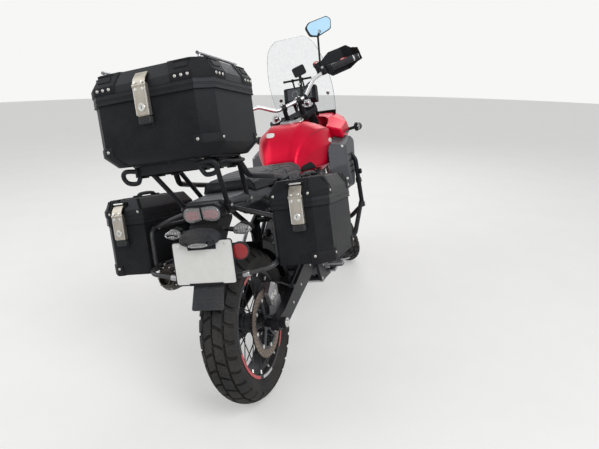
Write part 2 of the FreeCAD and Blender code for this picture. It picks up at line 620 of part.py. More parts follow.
shroud = pillow([(-500, 880), (-400, 930), (-190, 900), (-150, 760), (-210, 620), (-330, 588), (-450, 720)],
                [(-470, 870), (-400, 902), (-250, 870), (-220, 770), (-250, 660), (-330, 630), (-410, 730)],
                196, 286, 22)
parts["tank_shrouds"] = Part.makeCompound([shroud, mirrored(shroud)])

# Red front cowl with side wings and beak, open round the fork

COWL = [(-330, [(150, 990), (250, 955), (262, 920), (250, 890), (190, 880)]),
        (-480, [(170, 1030), (256, 980), (268, 930), (240, 880), (150, 860)]),
        (-610, [(150, 1040), (214, 1000), (226, 930), (190, 868), (120, 850)]),
        (-730, [(100, 985), (140, 960), (146, 920), (120, 872), (80, 856)]),
        (-850, [(34, 908), (54, 898), (58, 884), (50, 872), (34, 866)])]
fork_room = rod(leg_point(0, AXIS_N, LOW_CLAMP - 120), leg_point(0, AXIS_N, TOP_CLAMP + 200),
                STEER_SWEEP + MOVE_GAP)
cowl = hull(COWL, 12, True).cut(fork_room)
cowl = cowl.cut(box(-160, 160, -440, -300, 820, 1100))
parts["front_cowl"] = cowl

# Headlamps

lamp = prism([(18, -742, 884), (22, -742, 946), (96, -742, 952), (128, -742, 930), (104, -742, 882)],
             (0, 70, 0), 12)
parts["headlamps"] = Part.makeCompound([lamp, mirrored(lamp)])

# Windscreen: three bowed levels

SCREEN = [(-652, 1000, 168, 70, 4.0), (-566, 1260, 190, 56, 4.0), (-470, 1496, 118, 24, 4.0)]


def screen_level(y, z, half, bow, t):
    p, m, q = V(-half, y + bow, z), V(0, y, z), V(half, y + bow, z)
    p2, m2, q2 = V(-half, y + bow + t, z), V(0, y + t, z), V(half, y + bow + t, z)
    return Part.Wire([Part.Arc(p, m, q).toShape(), Part.makeLine(q, q2),
                      Part.Arc(q2, m2, p2).toShape(), Part.makeLine(p2, p)])


parts["windscreen"] = loft([screen_level(*s) for s in SCREEN])

# Instruments with their stay

DEVICE_BAR = (-478.0, 1262.0)
DEVICE_BAR_R = 6.0
DEVICE_BAR_HALF = 85.0
DEVICE_POST_X = 30.0

dash = side_plate([(-518, 1110), (-538, 1208), (-490, 1224), (-464, 1138)], -98, 98, 12)
dash_stay = [rod((x, -518, 1130), (x, -604, 1004), 9) for x in (-60, 60)]
by, bz = DEVICE_BAR
device_bar = [rod((-DEVICE_BAR_HALF, by, bz), (DEVICE_BAR_HALF, by, bz), DEVICE_BAR_R)]
for x in (-DEVICE_POST_X, DEVICE_POST_X):
    device_bar += [rod((x - 5, by, bz), (x + 5, by, bz), DEVICE_BAR_R + 4),
                   rod((x, by, bz), (x, -500, 1206), 5)]
parts["dash"] = join(dash, *(device_bar + dash_stay))

# Indicators

front_ind = join(rod((240, -470, 930), (300, -480, 940), 9),
                 Part.makeSphere(24, V(318, -482, 942)))
rear_ind = join(rod((50, 915, 786), (112, 921, 778), 9),
                prism([(108, 905, 768), (112, 905, 794), (140, 905, 806), (176, 905, 792), (184, 905, 776),
                       (150, 905, 762)], (0, 30, 0), 8))
parts["indicators"] = Part.makeCompound([front_ind, mirrored(front_ind), rear_ind, mirrored(rear_ind)])

# Crash bars

BAR_LOOP = [(60, -322, 860), (200, -372, 830), (304, -350, 790), (304, -350, 500), (220, -340, 430),
            (96, -270, 470)]
LOW_LOOP = [(300, -350, 520), (290, -140, 400), (176, 60, 262)]
loop = join(pipe(BAR_LOOP, 12.7, 50), pipe(LOW_LOOP, 12.7, 60))
parts["crash_bars"] = join(loop, mirrored(loop))

# Foot pegs and pedals

peg = join(box(166, 186, 96, 126, 298, 336), box(184, 262, 90, 130, 308, 326))
back_peg = join(pipe([(138, 298, 612), (176, 330, 520), (196, 360, 470)], 9, 20),
                rod((190, 360, 470), (262, 360, 470), 13))
shift = join(rod((166, 92, 288), (200, 92, 288), 9),
             pipe([(194, 92, 288), (198, -84, 316), (244, -96, 316)], 6, 12))
brake = join(rod((-166, 60, 262), (-200, 60, 262), 9),
             pipe([(-194, 60, 262), (-204, -70, 268), (-250, -84, 276)], 7, 12))
parts["foot_controls"] = Part.makeCompound([peg, mirrored(peg), back_peg, mirrored(back_peg), shift, brake])

# Cases: floor, walls and an overlapping lid hinged at the front edge


def case_plan(c, grow):
    x0, x1 = c["x0"] - grow, c["x1"] + grow
    y0, y1 = c["rear"] - c["length"] - grow, c["rear"] + grow
    k = CASE_CHAMFER + grow * 0.41
    inner = k if c["x0"] < 0 else 8
    return [(x0 + inner, y0), (x1 - k, y0), (x1, y0 + k), (x1, y1 - k), (x1 - k, y1),
            (x0 + inner, y1), (x0, y1 - inner), (x0, y0 + inner)]


def case_body(c):
    z0 = c["floor"]
    rim = z0 + c["body"] + LID_SKIRT - LID_WALL
    outer = plan_plate(case_plan(c, 0), z0, rim)
    inner = plan_plate(case_plan(c, -CASE_WALL), z0 + CASE_WALL, rim + 1)
    return outer.cut(inner)


def case_lid(c):
    z0, top = c["floor"] + c["body"], c["floor"] + c["body"] + c["lid"]
    grow = LID_GAP + LID_WALL
    bevel = 16.0

    def shell(g, z1, low):
        lower = plan_plate(case_plan(c, g), low, z1 - bevel)
        flat = [(x, y, z1 - bevel) for x, y in case_plan(c, g)]
        upper = [(x, y, z1) for x, y in case_plan(c, g - bevel)]
        return lower.fuse(loft([outline(flat, 0), outline(upper, 0)], True))

    return shell(grow, top, z0).cut(shell(LID_GAP, top - LID_WALL, z0 - 1)).removeSplitter()


def hinge_point(c):
    return c["rear"] - c["length"] - LID_GAP - LID_WALL - 7, c["floor"] + c["body"] - 6


def hinge(c):
    """Pin with two lugs on the body, and the lid's knuckles round the pin."""
    y, z = hinge_point(c)
    mid = (c["x0"] + c["x1"]) / 2
    half = (c["x1"] - c["x0"]) / 2 - CASE_CHAMFER - 10
    pin = rod((mid - half, y, z), (mid + half, y, z), HINGE_R)
    face = c["rear"] - c["length"]
    lugs = [box(x - 5, x + 5, y - 5, face + 0.5, z - 7, z + 5) for x in (mid - half + 5, mid + half - 5)]
    knuckles = []
    for x in (mid - half * 0.45, mid + half * 0.45):
        k = join(rod((x - KNUCKLE, y, z), (x + KNUCKLE, y, z), 7),
                 box(x - KNUCKLE, x + KNUCKLE, y + 2, face - LID_GAP - 0.5, z + 6.2, z + 14),
                 box(x - KNUCKLE, x + KNUCKLE, y - 4, y + 4, z + 4, z + 14))
        knuckles.append(k.cut(rod((x - 20, y, z), (x + 20, y, z), HINGE_R + PIN_GAP)))
    return [pin] + lugs, knuckles


def latch(c):
    """Hasp on the lid that hangs over the rear face, in its middle."""
    mid = (c["x0"] + c["x1"]) / 2
    y = c["rear"] + LID_GAP + LID_WALL
    z = c["floor"] + c["body"]
    return box(mid - 22, mid + 22, y - 1, y + 14, z - 78, z + 42)


cases = {"top_case": (TOP_CASE, TOP_PITCH), "left_case": (SIDE_CASE, SIDE_PITCH)}
for name, (c, angle) in cases.items():
    on_body, on_lid = hinge(c)
    body = join(case_body(c), *on_body)
    lid = join(case_lid(c), latch(c), *on_lid)
    if name == "top_case":
        top = c["floor"] + c["body"] + c["lid"]
        y0, y1 = c["rear"] - c["length"] + 60, c["rear"] - 60
        for x in (c["x0"] + 36, c["x1"] - 36):
            lid = join(lid, pipe([(x, y0, top - 2), (x, y0, top + 18), (x, y1, top + 18), (x, y1, top - 2)],
                                 5, 14))
    parts[name + "_body"] = pitched(body, c, angle)
    parts[name + "_lid"] = pitched(lid, c, angle)
for piece in ("body", "lid"):
    parts["right_case_" + piece] = mirrored(parts["left_case_" + piece])

# Rack under the top case: a cut-out plate on struts, and the grab rails

floor = TOP_CASE["floor"]
ty = TOP_CASE["rear"]
rack_plate = plan_plate([(-126, ty - 360), (126, ty - 360), (150, ty - 320), (150, ty - 90),
                         (110, ty - 60), (-110, ty - 60), (-150, ty - 90), (-150, ty - 320)],
                        floor - 6, floor, 10)
for x in (-90, 0, 90):
    rack_plate = rack_plate.cut(plan_plate([(x - 28, ty - 290), (x + 28, ty - 290), (x + 28, ty - 130),
                                            (x - 28, ty - 130)], floor - 8, floor + 2, 12))
rack_plate = pitched(rack_plate, TOP_CASE, TOP_PITCH)
STRUTS = [((134, 830, 1031), 720), ((134, 1010, 1059), 884)]
struts = []
for top, y in STRUTS:
    s = rod(top, rail_point(y), 9)
    struts += [s, mirrored(s)]
grab = pipe([rail_point(480), (172, 520, 880), (176, 640, 910), (150, 800, 950), (134, 838, 1030)], 11, 40)
parts["luggage_rack"] = join(rack_plate, grab, mirrored(grab), *struts)

# Hoops that carry the side cases, with the lower cross tube behind the wheel

side = SIDE_CASE
hx = side["x0"] - 10
f, y1 = side["floor"], side["rear"]
loop = join(pipe([(hx, y1 - 60, f + 20), (hx, y1 - 28, f + 20), (hx, y1 - 28, f + 170),
                  (hx, y1 - 340, f + 170), (hx, y1 - 340, f + 20), (hx, y1 - 300, f + 20)], 9, 30),
            rod((hx, y1 - 310, f + 20), (hx, y1 - 55, f + 20), 8.9))
pads = [box(hx - 4, side["x0"], y - 12, y + 12, z - 10, z + 10)
        for y, z in ((y1 - 70, f + 20), (y1 - 300, f + 20), (y1 - 70, f + 170), (y1 - 300, f + 170))]
hoop = pitched(join(loop, *pads), side, SIDE_PITCH)
links = [pipe(p, 9, 30) for p in (
    [(hx, 650, 762), (190, 625, 790), rail_point(600)],
    [(hx, 880, 801), (180, 880, 826), rail_point(860)])]
low_cross = pipe([(hx, 905, 656), (hx, 985, 650), (0, 985, 600)], 9, 50)
hoop = join(hoop, low_cross, *links)
parts["case_hoops"] = join(hoop, mirrored(hoop))

# Tail lamp

parts["tail_lamp"] = prism([(-80, 904, 838), (-80, 904, 872), (-60, 904, 888), (60, 904, 888),
                            (80, 904, 872), (80, 904, 838), (40, 904, 818), (-40, 904, 818)],
                           (0, 38, 0), 10)

# Pose: height and pitch that put both tyres on the ground, then the stand


def turned(p, centre, axis, angle):
    return centre + Rotation(axis, angle).multVec(p - centre)


wheel_mid = turned(V(0, FRONT_Y, FRONT_Z), AXIS_FOOT, AXIS_UP, STEER_LOCK)
wheel_way = Rotation(AXIS_UP, STEER_LOCK).multVec(V(1, 0, 0))
REAR_MID = V(0, REAR_Y, REAR_Z)


def posed(pitch):
    return Rotation(V(0, 1, 0), LEAN).multiply(Rotation(V(1, 0, 0), pitch))


def lowest(turn, mid, way, t):
    c, n = turn.multVec(mid - REAR_MID), turn.multVec(way)
    return c.z - (t["radius"] - t["crown"]) * math.sqrt(1 - n.z ** 2) - t["crown"]


lo, hi = -5.0, 5.0
for _ in range(50):
    pitch = (lo + hi) / 2
    turn = posed(pitch)
    if lowest(turn, wheel_mid, wheel_way, FRONT_TYRE) > lowest(turn, REAR_MID, V(1, 0, 0), REAR_TYRE):
        lo = pitch
    else:
        hi = pitch
turn = posed(pitch)
lift = -lowest(turn, REAR_MID, V(1, 0, 0), REAR_TYRE)
STEER = Placement(V(0, 0, 0), Rotation(AXIS_UP, STEER_LOCK), AXIS_FOOT)
POSE = Placement(turn.multVec(-REAR_MID) + V(0, 0, lift), turn)

# Side stand, drawn on the ground of the leaned machine

pivot = POSE.multVec(STAND_PIVOT)
pin_way = turn.multVec(STAND_AXIS)
eye_a, eye_b = pivot + pin_way * 2, pivot + pin_way * 16
foot = V(pivot.x + STAND_REACH, pivot.y - 34, 6)
stand = join(rod(eye_a, eye_b, 19), rod(pivot + pin_way * 9, foot, 12),
             plan_plate([(foot.x - 40, foot.y - 34), (foot.x + 34, foot.y - 34), (foot.x + 40, foot.y + 30),
                         (foot.x - 34, foot.y + 34)], 0, 9, 10))
stand = stand.cut(rod(pivot - pin_way * 30, pivot + pin_way * 60, STAND_PIN_R + PIN_GAP))

print("pitch", pitch, "lift", lift)

# Fit: a later piece gives way to an earlier one of the same body

ORDER = ["frame", "engine", "swingarm", "exhaust", "radiator", "skid_plate", "rear_shock", "rear_caliper",
         "rear_hoses",
         "headlamps", "tail_lamp", "fuel_tank", "top_case_body", "left_case_body", "right_case_body",
         "number_plate", "luggage_rack", "case_hoops", "crash_bars", "foot_controls", "indicators", "dash",
         "windscreen", "rider_seat", "pillion_seat", "side_panels", "tank_shrouds", "front_cowl",
         "rear_mudguards"]
FORK_ORDER = ["handlebar", "fork", "controls", "front_calipers", "hand_guards", "mirrors", "front_fender",
              "front_hoses"]


def fit(names, table):
    done = []
    for name in names:
        cutters = [table[n] for n in done if table[n].BoundBox.intersect(table[name].BoundBox)]
        if cutters:
            table[name] = table[name].cut(cutters)
        done.append(name)


fit(ORDER, parts)
fit(FORK_ORDER, steered)

ready = {}
for name, shape in parts.items():
    shape = shape.copy()
    shape.Placement = POSE.multiply(shape.Placement)
    ready[name] = shape
for name, shape in steered.items():
    shape = shape.copy()
    shape.Placement = POSE.multiply(STEER).multiply(shape.Placement)
    ready[name] = shape
ready["side_stand"] = stand

bounds = FreeCAD.BoundBox()
for shape in ready.values():
    bounds.add(shape.optimalBoundingBox(True, False))
shift = V(-bounds.Center.x, -bounds.Center.y, -bounds.ZMin)
for name, shape in ready.items():
    shape.translate(shift)
    shape.exportStep("parts/" + name + ".step")
print("box", bounds, "shift", shift, len(ready))
for name, shape in ready.items():
    if not shape.isValid():
        print("not valid", name)
    print(name, len(shape.Solids), round(shape.Volume / 1000), "cm3")
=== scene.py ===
import bpy
import bmesh
import json
import math
from types import SimpleNamespace as Spec
from mathutils import Matrix, Vector
from mathutils.bvhtree import BVHTree


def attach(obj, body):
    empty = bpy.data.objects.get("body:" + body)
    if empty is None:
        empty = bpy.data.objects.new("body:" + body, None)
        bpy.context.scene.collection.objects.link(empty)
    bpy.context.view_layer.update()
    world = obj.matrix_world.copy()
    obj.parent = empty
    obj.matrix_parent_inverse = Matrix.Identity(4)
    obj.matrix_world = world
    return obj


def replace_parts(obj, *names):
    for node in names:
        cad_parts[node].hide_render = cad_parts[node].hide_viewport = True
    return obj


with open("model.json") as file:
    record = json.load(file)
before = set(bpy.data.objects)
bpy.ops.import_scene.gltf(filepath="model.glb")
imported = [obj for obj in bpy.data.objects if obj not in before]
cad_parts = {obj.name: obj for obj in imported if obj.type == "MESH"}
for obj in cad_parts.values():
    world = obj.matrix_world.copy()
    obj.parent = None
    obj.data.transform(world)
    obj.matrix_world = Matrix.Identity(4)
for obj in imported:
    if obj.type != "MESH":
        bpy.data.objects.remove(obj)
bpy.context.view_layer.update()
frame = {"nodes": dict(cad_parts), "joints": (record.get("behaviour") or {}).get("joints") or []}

bl_info = {
    "name": "Adventure motorcycle dressing",
    "version": (1, 0, 0),
    "blender": (4, 5, 0),
    "location": "View3D > Sidebar > Motorcycle",
    "description": "Dresses the packed motorcycle with materials, tread, seats, hardware and a stage",
    "category": "Object",
}

NODES = frame["nodes"]
JOINTS = {j["name"]: j for j in frame["joints"]}
MM = 0.001
RAKE = math.radians(28.0)
LEFT, RIGHT, REAR, FRONT = (1, 0, 0), (-1, 0, 0), (0, 1, 0), (0, -1, 0)
UP, DOWN = (0, 0, 1), (0, 0, -1)
FRONT_AXLE = (-770.0, 329.0)
REAR_AXLE = (770.0, 322.0)
# Where the rays start that find the tank and the panels, in mm from the middle
TANK_FAR, PANEL_FAR = 400, 420


def vec(x, y, z):
    return Vector((x, y, z))


# Frames: the upright drawing frame of the parts, in metres, placed as the machine leans

def upright_frame():
    x = Vector(JOINTS["rear_wheel_spin"]["axis"]).normalized()
    u = Vector(JOINTS["steering_turn"]["axis"]).normalized()
    n = x.cross(u)
    y = math.sin(RAKE) * u - math.cos(RAKE) * n
    z = math.cos(RAKE) * u + math.sin(RAKE) * n
    m = Matrix((x, y, z)).transposed().to_4x4()
    m.translation = Vector(JOINTS["rear_wheel_spin"]["pos_m"]) - m.to_3x3() @ Vector(
        (0, REAR_AXLE[0] * MM, REAR_AXLE[1] * MM))
    return m


def steered_frame(base):
    j = JOINTS["steering_turn"]
    p = Vector(j["pos_m"])
    lock = math.radians(-min(j["range_deg"]) / 2)
    turn = Matrix.Rotation(lock, 4, Vector(j["axis"]))
    return Matrix.Translation(p) @ turn @ Matrix.Translation(-p) @ base


BIKE = upright_frame()
FORK = steered_frame(BIKE)


def pitched_frame(rear, floor, degrees):
    """A case's own frame: the upright frame with the rear tipped up about the floor's rear edge."""
    o = Matrix.Translation(vec(0, rear * MM, floor * MM))
    return BIKE @ o @ Matrix.Rotation(math.radians(degrees), 4, "X") @ o.inverted()


TOP = Spec(x0=-222.0, x1=222.0, rear=1150.0, floor=1088.0, length=372.0, body=198.0, lid=97.0, base=35.0)
SIDE = Spec(x0=268.0, x1=464.0, rear=962.0, floor=642.0, length=382.0, body=198.0, lid=98.0, base=0.0)
TOP_FRAME = pitched_frame(TOP.rear, TOP.floor, 9.0)
SIDE_FRAME = pitched_frame(SIDE.rear, SIDE.floor, 9.5)
SIDE_FRAME_RIGHT = SIDE_FRAME @ Matrix.Scale(-1, 4, Vector(LEFT))


# Mesh builder, in millimetres of the drawing frame

def around(count, start=0.0):
    """Sine and cosine of evenly spaced angles; start is a share of one step."""
    angles = [2 * math.pi * (i + start) / count for i in range(count)]
    return [(math.sin(a), math.cos(a)) for a in angles]


def hoops(rings, n, closed=False):
    """Faces between neighbouring rings of n points each."""
    return [(r * n + i, r * n + (i + 1) % n, (r + 1) % rings * n + (i + 1) % n, (r + 1) % rings * n + i)
            for r in range(rings if closed else rings - 1) for i in range(n)]


def tube_faces(rings, n):
    """Faces of a row of rings with both ends closed."""
    return hoops(rings, n) + [tuple(reversed(range(n))), tuple((rings - 1) * n + i for i in range(n))]


def grid(nu, nv):
    """Faces of a sheet of nu by nv cells and the ring of points round its edge."""
    w = nu + 1
    faces = [(j * w + i, j * w + i + 1, (j + 1) * w + i + 1, (j + 1) * w + i) for j in range(nv) for i in range(nu)]
    edge = [*range(nu), *(j * w + nu for j in range(nv)), *(nv * w + nu - i for i in range(nu)),
            *((nv - j) * w for j in range(nv))]
    return faces, edge


def pairs(ring):
    """Each item of a closed ring with the next one."""
    return zip(ring, ring[1:] + ring[:1])


def rect(x, y, z):
    """Four corners: two of x, y and z are pairs, the third is one number."""
    a, b = [i for i, c in enumerate((x, y, z)) if isinstance(c, tuple)]
    ring = []
    for i, j in ((0, 0), (1, 0), (1, 1), (0, 1)):
        p = [x, y, z]
        p[a], p[b] = p[a][i], p[b][j]
        ring.append(Vector(p))
    return ring


class Shape:
    def __init__(self):
        self.v = []
        self.f = []

    def add(self, verts, faces):
        n = len(self.v)
        self.v += [tuple(p) for p in verts]
        self.f += [tuple(i + n for i in f) for f in faces]
        return self

    def lathe(self, at, way, profile, seg=20, closed=False):
        """Turned piece: profile is (distance along the axis, radius)."""
        w = Vector(way).normalized()
        a = w.orthogonal().normalized()
        b = w.cross(a)
        o = Vector(at)
        ring = [o + w * d + (a * c + b * s) * max(r, 1e-4) for d, r in profile for s, c in around(seg)]
        return self.add(ring, hoops(len(profile), seg, True) if closed else tube_faces(len(profile), seg))

    def bolt(self, at, way, r=5.0, h=4.0, hexed=True):
        """Bolt head with a washer; a hexagon or a dome."""
        self.lathe(at, way, [(0, r * 1.45), (h * 0.22, r * 1.45), (h * 0.26, r * 1.05)], 18)
        if hexed:
            return self.lathe(at, way,
                              [(h * 0.2, r), (h * 0.9, r), (h, r * 0.86), (h, r * 0.5), (h * 0.6, r * 0.45)], 6)
        return self.lathe(at, way, [(h * 0.2, r), (h * 0.55, r * 0.95), (h * 0.85, r * 0.7), (h, r * 0.3)], 14)

    def tube(self, points, r, seg=10, steps=6):
        """Round bar on a smooth curve through the points; r is a number or a function of the share of the way."""
        pts = [Vector(p) for p in points]
        ext = [pts[0] * 2 - pts[1]] + pts + [pts[-1] * 2 - pts[-2]]
        path = []
        for i in range(1, len(ext) - 2):
            p0, p1, p2, p3 = ext[i - 1:i + 3]
            for t in [s / steps for s in range(steps)]:
                path.append(0.5 * ((2 * p1) + (p2 - p0) * t + (2 * p0 - 5 * p1 + 4 * p2 - p3) * t * t
                                   + (3 * p1 - p0 - 3 * p2 + p3) * t ** 3))
        return self.wire(path + pts[-1:], r, seg)

    def wire(self, points, r, seg=8):
        """Round bar from point to point."""
        path = [Vector(p) for p in points]
        rings = []
        side = None
        last = len(path) - 1
        for i, p in enumerate(path):
            d = (path[min(i + 1, last)] - path[max(i - 1, 0)]).normalized()
            side = d.orthogonal().normalized() if side is None else (side - d * side.dot(d)).normalized()
            up = d.cross(side)
            rr = r(i / last) if callable(r) else r
            rings += [p + (side * c + up * s) * rr for s, c in around(seg)]
        return self.add(rings, tube_faces(len(path), seg))

    def sheet(self, face, back, nu, nv):
        """Closed sheet between two grids of points given row by row."""
        faces, edge = grid(nu, nv)
        n = len(face)
        faces += [tuple(k + n for k in reversed(q)) for q in faces]
        return self.add([*face, *back], faces + [(a, a + n, b + n, b) for a, b in pairs(edge)])

    def slab(self, outline, normal, thick, bevel=1.0, dome=0.0):
        """Plate with bevelled edges: outline is a flat ring of points, thick its depth along normal."""
        n = Vector(normal).normalized()
        pts = [Vector(p) for p in outline]
        c = sum(pts, Vector()) / len(pts)

        def ring(k, h):
            out = []
            for i, p in enumerate(pts):
                a, b = pts[i - 1], pts[(i + 1) % len(pts)]
                u, w = (a - p).normalized(), (b - p).normalized()
                m = u + w
                m = m.normalized() if m.length > 1e-3 else n.cross(w)
                if m.dot(c - p) < 0:
                    m = -m
                out.append(p + m * k + n * h)
            return out

        rows = [ring(0, 0), ring(0, thick - bevel), ring(bevel, thick)]
        if dome:
            rows.append(ring(bevel * 4, thick + dome))
        return self.add(sum(rows, []), tube_faces(len(rows), len(pts)))

    def mirror(self):
        n = len(self.v)
        self.v += [(-x, y, z) for x, y, z in self.v]
        self.f += [tuple(reversed([i + n for i in f])) for f in list(self.f)]
        return self


def rounded(points, r, steps=4):
    """Flat ring of 3D points with its corners rounded."""
    pts = [Vector(p) for p in points]
    out = []
    for i, p in enumerate(pts):
        a, b = pts[i - 1], pts[(i + 1) % len(pts)]
        u, w = a - p, b - p
        k = min(r, u.length * 0.45, w.length * 0.45)
        s, e = p + u.normalized() * k, p + w.normalized() * k
        for j in range(steps + 1):
            t = j / steps
            out.append(s * (1 - t) ** 2 + p * 2 * t * (1 - t) + e * t * t)
    return out


def piece(name, shape, mat, body="chassis", place=None, sharp=32.0):
    """Makes the mesh in its drawing frame, shades it and lets it ride on its body."""
    if place is None:
        place = FORK if body == "steering" else BIKE
    mesh = bpy.data.meshes.new(name)
    mesh.from_pydata([tuple(c * MM for c in p) for p in shape.v], [], shape.f)
    mesh.transform(place)
    bm = bmesh.new()
    bm.from_mesh(mesh)
    bmesh.ops.recalc_face_normals(bm, faces=bm.faces)
    limit = math.radians(sharp)
    for f in bm.faces:
        f.smooth = True
    for e in bm.edges:
        if len(e.link_faces) == 2 and e.calc_face_angle(0.0) > limit:
            e.smooth = False
    bm.to_mesh(mesh)
    bm.free()
    obj = bpy.data.objects.new(name, mesh)
    bpy.context.scene.collection.objects.link(obj)
    mesh.materials.append(mats()[mat])
    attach(obj, body)
    return obj


# Materials: every one has its own colour variation and roughness, most also a relief

DARK_BASE = 0.06
# Blue tint for the reflections of near-black materials: a painted sky reflection
SKY_REFLECTION_TINT = (0.82, 0.88, 1.0, 1)
DUST_COLOUR = (0.23, 0.20, 0.165, 1)


def add_node(tree, kind, wires=(), **values):
    """New shader node: wires are (input, output socket), values are set on the inputs of those names."""
    n = tree.nodes.new("ShaderNode" + kind)
    for key, value in values.items():
        n.inputs[key.replace("_", " ")].default_value = value
    for socket, source in wires:
        tree.links.new(source, n.inputs[socket])
    return n


def maths(tree, operation, a, b):
    n = add_node(tree, "Math", [(0, a), (1, b)])
    n.operation = operation
    return n.outputs[0]


def surface(name, base, rough=0.5, metal=0.0, vary=0.12, scale=40.0, grain=None, coat=0.0,
            dust=0.0, streak=None, sheen=0.0, spec=0.5):
    """Procedural surface. grain is (scale, height in mm); streak stretches the noise along x, y or z."""
    m = bpy.data.materials.new(name)
    m.use_nodes = True
    m.diffuse_color = (*base, 1)
    t = m.node_tree
    bsdf = t.nodes["Principled BSDF"].inputs
    for socket, value in (("Metallic", metal), ("Coat Weight", coat), ("Coat Roughness", 0.06),
                          ("Sheen Weight", sheen), ("Specular IOR Level", spec)):
        bsdf[socket].default_value = value
    # Near-black materials reflect with a blue tint: painted sky reflection, not the material's own colour
    if max(base) < DARK_BASE:
        bsdf["Specular Tint"].default_value = SKY_REFLECTION_TINT
    coord = add_node(t, "TexCoord").outputs["Object"]
    mapping = add_node(t, "Mapping", [("Vector", coord)])
    if streak:
        mapping.inputs["Scale"].default_value = [0.06 if a == streak else 1.0 for a in "xyz"]
    mapped = mapping.outputs["Vector"]
    noise = add_node(t, "TexNoise", [("Vector", mapped)], Scale=scale, Detail=6, Roughness=0.6).outputs["Fac"]
    ramp = add_node(t, "ValToRGB", [("Fac", noise)])
    low, high = ramp.color_ramp.elements
    low.position, high.position = 0.3, 0.7
    low.color = (*(c * (1 - vary) for c in base), 1)
    high.color = (*(min(1.0, c * (1 + vary) + 0.004) for c in base), 1)
    colour = ramp.outputs["Color"]
    if dust > 0:
        big = add_node(t, "TexNoise", [("Vector", coord)], Scale=9.0, Detail=8).outputs["Fac"]
        fine = add_node(t, "TexNoise", [("Vector", coord)], Scale=220.0).outputs["Fac"]
        edge = add_node(t, "MapRange", [("Value", maths(t, "MULTIPLY", big, fine))], From_Min=0.18, From_Max=0.42,
                        To_Max=dust)
        mix = t.nodes.new("ShaderNodeMix")
        mix.data_type = "RGBA"
        t.links.new(edge.outputs["Result"], mix.inputs["Factor"])
        t.links.new(colour, mix.inputs[6])
        mix.inputs[7].default_value = DUST_COLOUR
        colour = mix.outputs[2]
    spread = add_node(t, "MapRange", [("Value", noise)], To_Min=max(0.03, rough * 0.82),
                      To_Max=min(1.0, rough * 1.22))
    t.links.new(colour, bsdf["Base Color"])
    t.links.new(spread.outputs["Result"], bsdf["Roughness"])
    if grain:
        g = add_node(t, "TexNoise", [("Vector", mapped)], Scale=grain[0], Detail=3)
        bump = add_node(t, "Bump", [("Height", g.outputs["Fac"])], Strength=0.6, Distance=grain[1] * MM)
        t.links.new(bump.outputs["Normal"], bsdf["Normal"])
    return m


def clear(name, tint, rough=0.05, transmission=0.85, ior=1.46):
    """Clear or tinted moulding."""
    m = surface(name, tint, rough=rough, vary=0.05, scale=60)
    b = m.node_tree.nodes["Principled BSDF"].inputs
    b["Transmission Weight"].default_value = transmission
    b["IOR"].default_value = ior
    return m


def dress(node, mat):
    """Gives a CAD node its material."""
    o = NODES[node]
    for s in o.material_slots:
        s.link = "OBJECT"
        s.material = mats()[mat]
    if not o.material_slots:
        o.data.materials.append(mats()[mat])


def settings():
    return bpy.context.scene.motorcycle_looks


MATS = {}


